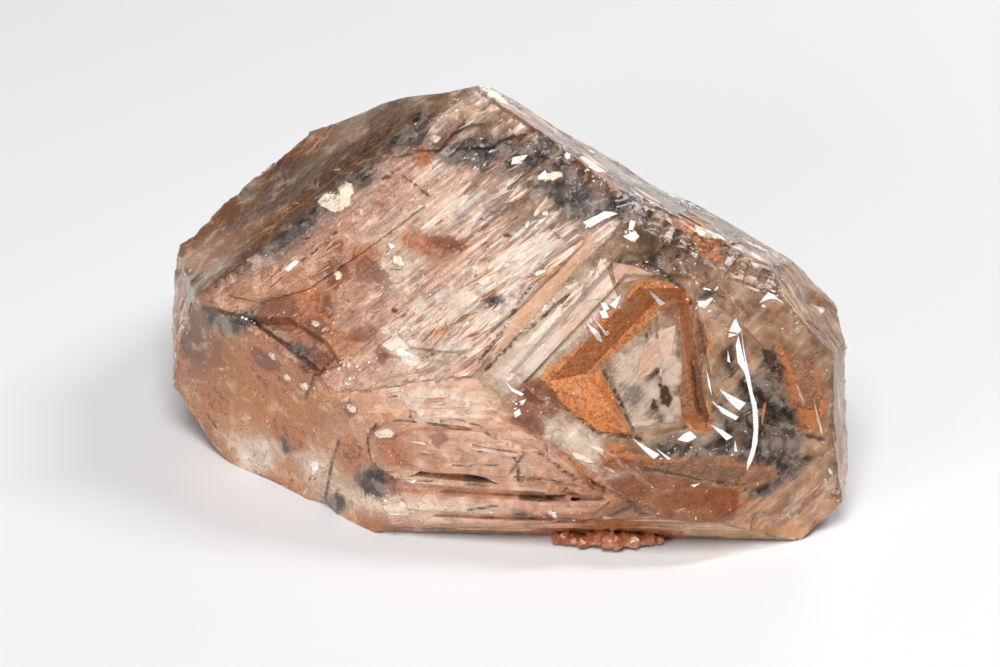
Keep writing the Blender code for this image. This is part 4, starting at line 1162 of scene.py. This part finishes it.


# %% [markdown]
# ## Painted highlight flakes
# Where a crack lies flat under the surface, light is thrown back from it and it flashes white. Here that
# flash is painted: each is a thin flake coloured near white, a flat outline that is dropped onto the
# skin, so it follows the skin's relief, and is then given a little thickness.

# %% Flake outlines
SHARD_OUTLINES = [
    # face, how deep it lies, outline
    ("window", 0.5, [(735, 317), (729, 331), (738, 334), (741, 330)]),
    ("window", 0.5, [(738, 335), (728, 337), (729, 333)]),
    ("window", 0.5, [(741, 325), (744, 350), (750, 376), (752, 392), (756, 403), (758, 422), (757, 442),
     (754, 456), (750, 464), (746, 471), (747, 462), (751, 448), (753, 430), (752, 408), (748, 388),
     (744, 372), (738, 362), (736, 345), (738, 336), (742, 352), (746, 368), (743, 350)]),
    ("window", 0.5, [(720, 389), (746, 403), (739, 411), (729, 402)]),
    ("window", 0.5, [(713, 402), (738, 417), (736, 420), (722, 413)]),
    ("window", 0.5, [(707, 370), (711, 383), (713, 396), (709, 386)]),
    ("window", 0.5, [(711, 425), (723, 430), (732, 437), (726, 440), (717, 431)]),
    ("window", 0.5, [(633, 439), (650, 449), (660, 454), (654, 459), (644, 450)]),
    ("window", 0.5, [(655, 448), (671, 459), (668, 460)]),
    ("window", 0.5, [(690, 431), (696, 437), (688, 442), (677, 440), (683, 434)]),
    ("window", 0.5, [(735, 440), (737, 452), (734, 451)]),
    ("window", 0.5, [(728, 350), (730, 363), (727, 361)]),
    ("window", 1, [(650, 291), (660, 298), (669, 306), (664, 308), (656, 300)]),
    ("window", 0.4, [(587, 324), (599, 341), (605, 344), (600, 333)]),
    ("window", 0.4, [(594, 319), (608, 338), (611, 336)]),
    ("window", 0.2, [(600, 313), (604, 320), (610, 318), (606, 310)]),
    ("window", 0.2, [(622, 296), (610, 306), (617, 309)]),
    ("window", 0.2, [(601, 303), (606, 312), (611, 310), (606, 303)]),
    ("window", 0.1, [(505, 382), (513, 388), (524, 394), (522, 396), (512, 391)]),
    ("window", 0.1, [(513, 412), (519, 409), (521, 414), (516, 418)]),
    ("window", 0.1, [(519, 401), (526, 399), (522, 405)]),
    ("window", 0.4, [(690, 485), (700, 483), (694, 487)]),
    ("fluted", 0, [(761, 300), (768, 292), (776, 293), (784, 303), (778, 298), (769, 298)]),
    ("fluted", 0, [(708, 288), (720, 290), (716, 294), (709, 292)]),
    ("fluted", 0, [(692, 300), (704, 303), (700, 306), (693, 305)]),
    ("great", 0, [(533, 275), (546, 271), (549, 274), (541, 278)]),
    ("great", 0, [(514, 158), (528, 155), (521, 163), (512, 165)]),
    ("great", 0, [(538, 176), (546, 171), (548, 178), (540, 180)]),
    ("great", 0, [(589, 162), (601, 166), (596, 170), (588, 166)]),
    ("great", 0, [(566, 151), (570, 154), (567, 159), (564, 156)]),
    ("great", 0, [(622, 235), (634, 229), (638, 234), (630, 239)]),
    ("great", 0, [(629, 219), (634, 220), (632, 229), (628, 228)]),
    ("great", 0, [(583, 222), (605, 212), (618, 213), (606, 219), (590, 228)]),
    ("great", 0, [(286, 270), (296, 261), (300, 263), (289, 273)]),
    ("great", 0, [(388, 243), (396, 247), (391, 249)]),
    ("great", 0, [(396, 347), (409, 352), (421, 358), (410, 361), (398, 355)]),
    ("brown", 0, [(312, 462), (318, 459), (320, 467), (314, 474)]),
    ("terraced", 0, [(552, 510), (557, 510), (556, 519), (552, 518)]),
    ("terraced", 0, [(408, 478), (418, 476), (412, 482)]),
]
SHARDS = [(face, trace(face, outline, sunk)) for face, sunk, outline in SHARD_OUTLINES]
print("bright fractures:", len(SHARDS))

# %% Drop onto the skin
ABOVE, DEEPEST_DROP = 3.0, 9 * MM
skin_tree = BVHTree.FromObject(body, bpy.context.evaluated_depsgraph_get())


def drop(place, face):
    """Where a point above a face lands on the skin, and the skin's own direction there."""
    outward = on_face(face).to_3x3() @ Vector((0, 0, 1))
    landed, normal, *_ = skin_tree.ray_cast(place, -outward, DEEPEST_DROP)
    return landed, normal, outward


def lies_close(piece, reach=0.24):
    """True where no corner of a small piece hangs in the air beyond an edge."""
    return all(skin_tree.find_nearest(corner.co)[3] < reach * MM for corner in piece.data.vertices)


# %% A flake
FLAKE_NET = 0.35 * MM
FLAKE_CUTS = 3
FLAKE_THICKNESS = 0.09 * MM


def cut_flake(outline):
    """A flat outline. Its edges that are longer than the net's are halved, a few times over."""
    bpy.ops.object.select_all(action="DESELECT")
    bpy.ops.mesh.primitive_circle_add(vertices=len(outline), radius=1 * MM, fill_type="NGON")
    piece = bpy.context.object
    for corner, (across, up) in zip(piece.data.vertices, outline):
        corner.co = (across * MM, up * MM, 0)
    bpy.ops.object.mode_set(mode="EDIT")
    bpy.ops.mesh.select_all(action="SELECT")
    bpy.ops.mesh.quads_convert_to_tris(ngon_method="BEAUTY")
    for cut in range(FLAKE_CUTS):
        net = bmesh.from_edit_mesh(piece.data)
        for edge in net.edges:
            edge.select_set(edge.calc_length() > FLAKE_NET)
        bpy.ops.mesh.subdivide(number_cuts=1)
        bpy.ops.mesh.select_all(action="SELECT")
        bpy.ops.mesh.quads_convert_to_tris()
    bpy.ops.mesh.select_all(action="DESELECT")
    bpy.ops.object.mode_set(mode="OBJECT")
    return piece


def lay_flake(piece, face, height):
    """Drops a flat piece onto a face's skin, cuts off what falls past an edge, and thickens it."""
    piece.data.transform(on_face(face, out=ABOVE))
    for corner in piece.data.vertices:
        landed, normal, outward = drop(corner.co, face)
        if landed:
            corner.co = landed + outward * height * MM
        else:
            corner.select = True
    bpy.ops.object.mode_set(mode="EDIT")
    bpy.ops.mesh.delete(type="VERT")
    bpy.ops.object.mode_set(mode="OBJECT")
    add_modifier(piece, "SOLIDIFY", thickness=FLAKE_THICKNESS, offset=0.0)
    return piece


# %% Painted highlight flakes
HIGHLIGHT_FLAKE_HEIGHT = 0.03
PAINTED_HIGHLIGHT_GREY = (0.80, 0.76, 0.72, 1)
PAINTED_HIGHLIGHT_WHITE = (1.0, 1.0, 1.0, 1)


# Flakes and chips are coloured grey to white: a painted highlight, bright under any lamp.
def painted_highlight():
    paint = Paint("painted highlight")
    grit = paint.noise(paint.place, 2.5 / MM)
    white = paint.mix(paint.ramp(grit, 0.35, 0.65), PAINTED_HIGHLIGHT_GREY, PAINTED_HIGHLIGHT_WHITE)
    paint.set(Base_Color=white, Roughness=paint.ramp(grit, 0.3, 0.7, 0.08, 0.30), Coat_Weight=0.6,
              Coat_Roughness=0.05, Normal=paint.bump(grit, 0.1 * MM, 0.6))
    return paint.material


def join(pieces, name):
    bpy.ops.object.select_all(action="DESELECT")
    for piece in pieces:
        if not piece.users_collection:
            bpy.context.scene.collection.objects.link(piece)
    for piece in pieces:
        piece.select_set(True)
    bpy.context.view_layer.objects.active = pieces[0]
    bpy.ops.object.join()
    whole = bpy.context.object
    whole.name = whole.data.name = name
    return whole


flakes = [lay_flake(cut_flake(outline), face, HIGHLIGHT_FLAKE_HEIGHT) for face, outline in SHARDS]
highlight_flakes = join(flakes, "painted_highlight_flakes")
highlight_flakes.data.materials.append(painted_highlight())
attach(highlight_flakes, "root")
print("bright fractures:", len(SHARDS), "flakes,", len(highlight_flakes.data.polygons), "faces")

# %% [markdown]
# ## Glints
# Hundreds of tiny chips and steps each mirror a lamp for a moment. Here they are chips painted near
# white, as painted highlights. One chip is modelled as a flat five-sided cone, and copies of it are
# strewn over the places that sparkle, each turned its own way and with its own jagged outline.

# %% A chip
CHIP_SIDES = 5
bpy.ops.object.select_all(action="DESELECT")
bpy.ops.mesh.primitive_cone_add(vertices=CHIP_SIDES, radius1=0.5 * MM, radius2=0.22 * MM, depth=0.16 * MM)
chip = bpy.context.object
chip.name = "glint"


def side_of(corner, sides):
    """Which side of a cone a corner of it belongs to."""
    return round(math.atan2(corner.co.y, corner.co.x) / math.tau * sides) % sides


def turned(degrees, axis):
    return Matrix.Rotation(math.radians(degrees), 4, axis)


def strewn_place(face, middle, half_width, half_height, turn, spread):
    """A place above a face, drawn about the middle of a field that has a turn of its own."""
    shift = Vector((draw.gauss(0, spread) * half_width, draw.gauss(0, spread) * half_height))
    shift = Matrix.Rotation(math.radians(turn), 2) @ shift
    return on_face(face, middle[0] + shift.x, middle[1] + shift.y, ABOVE).translation


print("chip:", len(chip.data.vertices), "corners")

# %% Glints
draw = random.Random(12)
chips = []
for face, middle, half_width, half_height, turn, count, size, stretch in GLINTS:
    for number in range(count):
        place, normal, outward = drop(strewn_place(face, middle, half_width, half_height, turn, 0.5), face)
        lean = turned(draw.gauss(0, 14), "X") @ turned(draw.gauss(0, 14), "Y")
        spin = turned(turn + draw.gauss(0, 22), "Z")
        scale = size * draw.uniform(0.2, 1.0) ** 1.8
        shape = Matrix.Diagonal((scale * stretch ** 0.5, scale / stretch ** 0.5, scale ** 0.5 * 0.8, 1.0))
        jags = [draw.uniform(0.55, 1.35) for side in range(CHIP_SIDES)]
        if not place:
            continue
        copy = bpy.data.objects.new("glint", chip.data.copy())
        for corner in copy.data.vertices:
            jag = jags[side_of(corner, CHIP_SIDES)]
            corner.co.x, corner.co.y = corner.co.x * jag, corner.co.y * jag
        stand = on_face(face).to_3x3().to_4x4()
        copy.data.transform(Matrix.Translation(place) @ stand @ lean @ spin @ shape)
        if lies_close(copy):
            chips.append(copy)
bpy.data.objects.remove(chip)
glints = join(chips, "glints")
# The chips take the painted highlight finish.
glints.data.materials.append(painted_highlight())
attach(glints, "root")
print("glints:", len(chips), "chips")

# %% [markdown]
# ## Shingles
# The faces grew as thousands of thin overlapping plates, whose sharp ends stand up by a hair. One
# plate is modelled as a low cone with seven corners. Its copies are strewn along each face's growth
# lines, each with its own outline, tilt and tone. The larger blades are cut one by one.

# %% Blade outlines
BLADE_OUTLINES = [
    # face, how deep it lies, tone, outline
    ("window", 0.3, 0.55, [(490, 356), (500, 340), (511, 322), (523, 303), (534, 294), (541, 287),
     (541, 281), (561, 262), (588, 240), (600, 234), (584, 258), (562, 286), (532, 318), (508, 343)]),
    ("window", 0.3, 0.85, [(600, 257), (607, 270), (613, 287), (620, 301), (607, 297), (596, 299),
     (585, 301), (592, 280)]),
    ("window", 0.3, 0.92, [(524, 345), (548, 318), (572, 293), (583, 284), (578, 300), (560, 328),
     (545, 342)]),
    ("window", 0.3, 0.7, [(586, 300), (590, 318), (578, 336), (566, 343), (560, 338), (575, 316)]),
    ("window", 0.3, 0.6, [(612, 262), (640, 268), (655, 275), (630, 282), (616, 284)]),
    ("great", 0, 0.95, [(478, 283), (496, 262), (512, 246), (505, 262), (494, 278), (486, 288)]),
    ("great", 0, 0.9, [(455, 345), (478, 322), (498, 306), (488, 322), (470, 340)]),
    ("great", 0, 0.75, [(458, 352), (474, 341), (500, 330), (490, 344), (470, 357)]),
    ("great", 0, 0.95, [(510, 262), (524, 246), (545, 232), (536, 246), (522, 260)]),
    ("great", 0, 0.45, [(440, 322), (447, 322), (447, 334), (438, 345), (432, 352), (436, 336)]),
    ("great", 0, 0.8, [(412, 330), (432, 318), (440, 312), (430, 326), (416, 336)]),
    ("great", 0, 0.88, [(380, 344), (398, 338), (420, 342), (410, 350), (392, 352)]),
    ("great", 0, 0.92, [(398, 352), (416, 356), (430, 362), (418, 368), (402, 362)]),
    ("terraced", 0, 0.8, [(404, 398), (440, 394), (472, 398), (470, 408), (450, 414), (424, 414),
     (408, 408)]),
    ("terraced", 0, 0.55, [(380, 470), (410, 466), (440, 470), (470, 470), (440, 477), (408, 477)]),
    ("terraced", 0, 0.7, [(470, 440), (510, 436), (540, 446), (520, 450), (490, 449)]),
    ("terraced", 0, 0.35, [(540, 480), (575, 478), (606, 490), (586, 497), (556, 492)]),
    ("terraced", 0, 0.9, [(383, 506), (404, 502), (420, 508), (408, 516), (390, 515)]),
    ("window", 0.3, 0.4, [(548, 445), (565, 452), (600, 476), (614, 490), (596, 482), (566, 462)]),
    ("window", 0.3, 0.06, [(640, 462), (680, 463), (728, 466), (764, 469), (772, 475), (748, 483),
     (700, 479), (664, 470)]),
    ("window", 0.3, 0.08, [(782, 345), (800, 358), (814, 380), (820, 402), (812, 410), (800, 388),
     (790, 366)]),
    ("window", 3, 0.2, [(679, 302), (690, 303), (694, 320), (694, 370), (697, 395), (703, 415),
     (706, 428), (690, 425), (682, 415), (680, 395), (683, 370), (681, 340), (678, 320)]),
    ("window", 4.2, 0.8, [(661, 330), (675, 325), (672, 345), (668, 365), (662, 358), (658, 345)]),
    ("window", 4.4, 0.66, [(640, 352), (655, 338), (660, 350), (650, 372), (636, 380)]),
    ("window", 0.6, 0.03, [(697, 318), (704, 324), (708, 345), (702, 372), (704, 395), (710, 418),
     (706, 430), (699, 408), (694, 370)]),
]
BLADES = [(face, tone, trace(face, outline, sunk)) for face, sunk, tone, outline in BLADE_OUTLINES]
print("blades:", len(BLADES))

# %% Milky plates
TONES = [(0.0, (0.15, 0.07, 0.035, 1)), (0.28, (0.42, 0.16, 0.065, 1)), (0.5, (0.57, 0.31, 0.18, 1)),
         (0.78, (0.70, 0.48, 0.37, 1)), (1.0, (0.86, 0.70, 0.58, 1))]


def milky_plate():
    paint = Paint("milky plates")
    blotch = paint.noise(paint.place, 0.9 / MM, 4, 0.7)
    streak = paint.noise(paint.stored("grain", "Vector"), 1.0, 4, 0.7)
    broken = paint.add(paint.off(blotch, 1.3), paint.off(streak, 1.2))
    mixed = paint.add(paint.stored("tone"), paint.times(broken, paint.stored("lively")))
    ramp = paint.node("ValToRGB")
    paint.put(ramp.inputs[0], mixed)
    while len(ramp.color_ramp.elements) < len(TONES):
        ramp.color_ramp.elements.new(0.5)
    for stop, (place, colour) in zip(ramp.color_ramp.elements, TONES):
        stop.position, stop.color = place, colour
    relief = paint.add(streak, paint.times(blotch, 0.8))
    paint.set(Base_Color=ramp.outputs[0], Roughness=paint.ramp(mixed, 0.2, 1.0, 0.10, 0.30), IOR=1.544,
              Normal=paint.bump(relief, 0.3 * MM, 0.8))
    return paint.material


def stamp(piece, tone, lie, length, width, seed, lively=1.0):
    """Stores a plate's tone and growth lines on its own mesh."""
    across, up, out = net_points(piece).T / MM
    lie = math.radians(lie)
    along = across * math.cos(lie) + up * math.sin(lie)
    side = up * math.cos(lie) - across * math.sin(lie)
    same = np.ones(len(across))
    store(piece, "tone", tone * same)
    store(piece, "lively", lively * same)
    store(piece, "grain", np.stack([along / length, side / width, seed * same], 1), "FLOAT_VECTOR")


# %% Strewn plates
PLATE_CORNERS = [(0.55, 0.05), (0.36, 0.42), (-0.05, 0.46), (-0.42, 0.16), (-0.62, -0.10), (-0.10, -0.40),
                 (0.42, -0.46)]
PLATE_TAPER = 0.93
LEAST_FACING = 0.85
bpy.ops.object.select_all(action="DESELECT")
bpy.ops.mesh.primitive_cone_add(vertices=len(PLATE_CORNERS), radius1=0.5 * MM, radius2=0.42 * MM,
                                depth=0.3 * MM)
seed_plate = bpy.context.object
draw = random.Random(31)
plates = []
for face, middle, half_width, half_height, turn, lie, count, length, width, tone in ZONES:
    for number in range(count):
        start = strewn_place(face, middle, half_width, half_height, turn, 0.55)
        size = draw.uniform(0.25, 1.1) ** 1.3
        long, wide = length * size * MM, width * size ** 0.5 * draw.uniform(0.6, 1.5) * MM
        corners = [(x + draw.gauss(0, 0.08), y + draw.gauss(0, 0.10)) for x, y in PLATE_CORNERS]
        spin = lie + draw.gauss(0, 7) + 180 * (draw.random() < 0.3)
        roll, pitch = draw.gauss(0, 4), draw.gauss(1.5, 1.2)
        shade, lift = min(1.0, max(0.0, tone + draw.gauss(0, 0.24))), draw.uniform(-0.10, -0.03)
        place, normal, outward = drop(start, face)
        if not place or normal.dot(outward) < LEAST_FACING:
            continue
        copy = bpy.data.objects.new("plate", seed_plate.data.copy())
        for corner in copy.data.vertices:
            x, y = corners[side_of(corner, len(corners))]
            inset = 1.0 if corner.co.z < 0 else PLATE_TAPER
            corner.co.x, corner.co.y = x * long * inset, y * wide * inset
        stamp(copy, shade, 0, 2.5, 0.22, draw.uniform(0, 90))
        stand = on_face(face).to_3x3().to_4x4() @ turned(spin, "Z") @ turned(roll, "X") @ turned(pitch, "Y")
        copy.data.transform(Matrix.Translation(place + outward * lift * MM) @ stand)
        if lies_close(copy):
            plates.append(copy)
bpy.data.objects.remove(seed_plate)
print("plates strewn:", len(plates))

# %% Cut blades
BLADE_HEIGHT = 0.02
for face, tone, outline in BLADES:
    blade = cut_flake(outline)
    stamp(blade, tone, SKIN[face][3], 3.0, 0.35, 5.0 * tone, 0.4 if face == "window" else 1.0)
    plates.append(lay_flake(blade, face, BLADE_HEIGHT))
shingles = join(plates, "shingles")
shingles.data.materials.append(milky_plate())
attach(shingles, "root")
print("blades cut:", len(BLADES), "and", len(shingles.data.polygons), "faces of shingles in all")

# %% [markdown]
# ## Quartz
# The skin is milky where growth lines comb it and clear in windows between them. Both are one
# Principled surface: its transmission falls where the milk, the rust or the clay lies, and light
# that goes inside is tinted by absorption. The finish is made in four steps: the patterns, how
# opaque the quartz is, its colour, and its height.

# %% Colours of the quartz
CREAM = (0.93, 0.74, 0.56, 1)
PALE = (0.80, 0.64, 0.52, 1)
# The next two colours paint the clear patches dark, as painted shade seen through the glass.
PAINTED_DARK_GLASS = (0.30, 0.235, 0.19, 1)
PAINTED_DARKEST_GLASS = (0.085, 0.07, 0.06, 1)
RUST = (0.19, 0.055, 0.025, 1)
AMBER = (0.54, 0.18, 0.06, 1)
CLAY = (0.74, 0.265, 0.065, 1)
CLAY_DARK = (0.34, 0.09, 0.025, 1)
TAN = (0.66, 0.36, 0.19, 1)
# The next colour is for seams, painted step shade, rust threads and dark dots.
SEAM_AND_SHADE_DARK = (0.10, 0.045, 0.02, 1)
# The next colour is for the shingles' painted shadows.
PAINTED_SHADOW_BROWN = (0.34, 0.13, 0.05, 1)
# The next colour is for painted highlights and painted sparkles.
PAINTED_SPARKLE_WHITE = (0.96, 0.90, 0.82, 1)
DEPTH_TINT = (0.66, 0.50, 0.38, 1)
DEPTH_DENSITY = 35.0
QUARTZ_IOR = 1.544
MOST_MILK = 0.92
STAIN_EDGES = {
    # kind: (how far grit, growth lines and wisps fray its edge, in mm), (where it starts, where it is full)
    "clay": ((0.9, 0.5, 0.3), (-0.08, 0.08)), "rust": ((0.9, 0.9, 2.2), (-0.25, 0.20)),
    "amber": ((0.9, 0.9, 2.6), (-0.8, 0.4)), "clear_painted_dark": ((0.6, 3.2, 1.6), (-0.5, 0.6)),
    "pale": ((0.8, 1.6, 2.6), (-0.9, 0.9)), "cream": ((0.7, 0.3, 0.5), (-0.10, 0.10)),
    "seam_and_shade": ((0.5, 0.4, 0.3), (-0.16, 0.10)),
}
print("kinds of stain in the finish:", len(STAIN_EDGES))


# %% Patterns of the quartz
class Quartz(Paint):
    """The crystal's finish. Its patterns are kept, because every layer is broken up by the same ones."""

    def __init__(self):
        super().__init__("clear quartz")
        grain = self.stored("grain", "Vector")
        self.combed = self.noise(grain, 1.0, 4, 0.66)
        self.lines = self.off(self.combed, 1.0)
        self.wisps = self.noise(self.place, 0.55 / MM, 4, 0.70, 0.25)
        self.grit = self.noise(self.place, 1.5 / MM, 3, 0.75)
        self.dust = self.noise(self.place, 4.0 / MM, 1, 0.5)
        self.clouds = self.stored("clouds")
        self.comb = self.stored("comb")
        self.pigment = self.stored("pigment", "Vector")
        # Shingles are long sharp-edged cells along the frayed growth lines.
        frayed = self.stored("plates", "Vector")
        self.large = self.cells(self.stretched(frayed, (0.9, 0.55, 0.5)))
        self.small = self.cells(self.stretched(frayed, (2.2, 1.9, 1.0), (0.3, 0.8, 0.1)))
        self.shingled = self.times(self.comb, self.ramp(self.clouds, 0.56, 0.44))
        self.masks = {kind: self.stain_mask(kind) for kind in STAIN_EDGES}
        self.painted_step_shade = self.painted_step_shades(grain)
        self.strew_marks()

    def stain_mask(self, kind):
        """One inside a stain and nought outside it, with an edge that noise frays."""
        (grit_share, line_share, wisp_share), (start, full) = STAIN_EDGES[kind]
        distance = self.add(self.stored(kind), self.off(self.grit, grit_share),
                            self.times(self.lines, line_share), self.off(self.wisps, wisp_share))
        return self.ramp(distance, start, full)

    def painted_step_shades(self, grain):
        """Levels of a broad noise, like a contour map. Each level's rim is a growth step, painted dark as
        shade.
        """
        slow = self.stretched(grain, (0.42, 0.20, 0.2), (1.3, 5.7, 2.4))
        broad = self.noise(slow, 1.0, 3, 0.55, 0.4)
        levels = self.times(self.add(broad, self.times(self.lines, 0.10)), 14.0)
        ledged = self.times(self.comb, self.ramp(self.clouds, 0.40, 0.52))
        return self.times(self.ramp(self.math("FRACT", levels), 0.10, 0.02), ledged)

    def strew_marks(self):
        """Small marks: rust threads, painted highlights and shadows on shingles, painted sparkles, dark dots.
        """
        ridge = self.math("ABSOLUTE", self.off(self.wisps, 1.0))
        self.thread = self.times(self.ramp(ridge, 0.016, 0.004), self.ramp(self.clouds, 0.47, 0.57))
        stained = self.most(*(self.masks[kind] for kind in ("clay", "clear_painted_dark", "rust", "amber")))
        bare = self.times(self.shingled, self.without(stained))
        # Some shingle cells are painted white as highlights.
        self.painted_highlight = self.times(self.ramp(self.small, 0.84, 0.88), bare)
        # Other shingle cells get a painted shadow.
        self.shadow = self.times(self.ramp(self.small, 0.16, 0.12), bare)
        # Specks are tiny painted sparkles.
        self.painted_sparkle = self.times(self.ramp(self.dust, 0.72, 0.77), self.ramp(self.wisps, 0.42, 0.54))
        # Small dark dots where the fine dust noise is lowest.
        self.dark_dot = self.times(self.ramp(self.dust, 0.27, 0.22), self.ramp(self.wisps, 0.60, 0.48))

    def over(self, colour, mask, share, layer):
        """Lays a colour over another through a mask, at a share that may be a pattern too."""
        return self.mix(self.times(mask, share), colour, layer)


# %% How opaque it is
def quartz_opacity(paint):
    masks, wisps = paint.masks, paint.wisps
    combs = paint.times(paint.times(paint.lines, 0.8), paint.comb)
    shingles = paint.times(paint.off(paint.large, 0.6), paint.shingled)
    drifts = paint.add(paint.off(paint.clouds, 1.0), paint.off(wisps, 0.8))
    milky = paint.math("MINIMUM", paint.add(paint.stored("milk"), combs, drifts, shingles), MOST_MILK)
    veil = paint.times(masks["clear_painted_dark"], paint.ramp(wisps, 0.38, 0.66, 0.15, 0.75))
    opacity = paint.add(paint.times(milky, paint.without(masks["clear_painted_dark"])), veil)
    return paint.most(opacity, paint.times(masks["pale"], 0.85), paint.times(masks["rust"], 0.90),
                      paint.times(masks["amber"], 0.85), masks["clay"], masks["cream"],
                      paint.times(masks["seam_and_shade"], 0.8), paint.times(paint.painted_step_shade, 0.7), paint.painted_highlight, paint.painted_sparkle)


# %% Its colour
def clay_colour(paint):
    """Orange grains, tan where the clay is dry, and rusty where a cloud lies over it."""
    grains = paint.add(paint.times(paint.grit, 0.5), paint.times(paint.dust, 0.5))
    clay = paint.mix(paint.ramp(grains, 0.40, 0.56, 0.1, 1.0), CLAY_DARK, CLAY)
    clay = paint.mix(paint.ramp(paint.wisps, 0.54, 0.64, 0.0, 0.75), clay, TAN)
    return paint.mix(paint.ramp(paint.clouds, 0.50, 0.38, 0.0, 0.35), clay, RUST)


def milk_colour(paint):
    """The face's own pigment, darker and lighter by clouds, wisps and shingles."""
    wisps, large, shingled, pigment = paint.wisps, paint.large, paint.shingled, paint.pigment
    dark = paint.shade(pigment, 0.45)
    colour = paint.over(pigment, paint.ramp(wisps, 0.54, 0.34), 0.50, dark)
    colour = paint.over(colour, paint.ramp(paint.clouds, 0.54, 0.74), 0.40, AMBER)
    colour = paint.over(colour, paint.ramp(wisps, 0.52, 0.70), 0.35, CREAM)
    colour = paint.over(colour, paint.ramp(large, 0.45, 0.0), paint.times(shingled, 0.6), dark)
    colour = paint.over(colour, paint.ramp(large, 0.55, 1.0), paint.times(shingled, 0.8), CREAM)
    furrow = paint.ramp(paint.combed, 0.48, 0.34)
    return paint.over(colour, furrow, paint.times(paint.comb, 0.35), paint.shade(pigment, 0.35))


def quartz_colour(paint):
    """The milk, with the stains and then the small marks laid over it."""
    masks, wisps = paint.masks, paint.wisps
    colour = paint.over(milk_colour(paint), masks["pale"], paint.ramp(wisps, 0.30, 0.60, 0.30, 0.85), PALE)
    # Clear patches are painted dark grey-brown: painted shade seen through clear glass.
    glass = paint.mix(paint.ramp(wisps, 0.36, 0.60), PAINTED_DARKEST_GLASS, PAINTED_DARK_GLASS)
    colour = paint.mix(masks["clear_painted_dark"], colour, glass)
    stain = paint.mix(paint.ramp(paint.grit, 0.36, 0.54), RUST, AMBER)
    colour = paint.over(colour, masks["amber"], paint.ramp(wisps, 0.25, 0.6, 0.5, 0.95), stain)
    colour = paint.over(colour, masks["rust"], paint.ramp(wisps, 0.25, 0.6, 1.0, 0.7), RUST)
    colour = paint.mix(masks["clay"], colour, clay_colour(paint))
    colour = paint.mix(masks["cream"], colour, paint.mix(paint.ramp(wisps, 0.38, 0.58), PALE, CREAM))
    # Painted highlights and painted sparkles are laid in white.
    colour = paint.mix(paint.most(paint.times(paint.painted_highlight, 0.8), paint.painted_sparkle), colour, PAINTED_SPARKLE_WHITE)
    # The shingles' painted shadows.
    colour = paint.over(colour, paint.shadow, 0.8, PAINTED_SHADOW_BROWN)
    # Seams, painted step shade, rust threads and dark dots share one dark colour.
    dark = paint.most(masks["seam_and_shade"], paint.times(paint.painted_step_shade, 0.8), paint.times(paint.thread, 0.7), paint.dark_dot)
    return paint.mix(dark, colour, SEAM_AND_SHADE_DARK)


# %% Its height, and the whole finish
def quartz_height(paint):
    combs = paint.times(paint.times(paint.lines, 0.8), paint.comb)
    shingles = paint.times(paint.times(paint.large, 0.30), paint.shingled)
    grain = paint.add(paint.times(paint.grit, 0.14), paint.times(paint.wisps, 0.6))
    steps = paint.add(paint.times(paint.masks["seam_and_shade"], -0.4), paint.times(paint.masks["cream"], 0.5))
    return paint.add(combs, grain, shingles, steps)


def quartz():
    paint = Quartz()
    opacity = quartz_opacity(paint)
    rough = paint.most(paint.ramp(opacity, 0.2, 0.95, 0.03, 0.20), paint.times(paint.masks["clay"], 0.55))
    paint.set(Base_Color=quartz_colour(paint), Roughness=rough, IOR=QUARTZ_IOR,
              Transmission_Weight=paint.math("SUBTRACT", 1.0, opacity, clamp=True),
              Normal=paint.bump(quartz_height(paint), 0.5 * MM, 0.9),
              Coat_Weight=0.3, Coat_Roughness=0.02, Coat_IOR=1.5)
    absorb = paint.node("VolumeAbsorption")
    absorb.inputs["Color"].default_value = DEPTH_TINT
    absorb.inputs["Density"].default_value = DEPTH_DENSITY
    paint.put(paint.tree.nodes["Material Output"].inputs["Volume"], absorb.outputs["Volume"])
    return paint.material


body.data.materials.clear()
body.data.materials.append(quartz())
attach(body, "root")
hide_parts(NODE)
print("quartz finish:", len(body.data.materials[0].node_tree.nodes), "nodes")
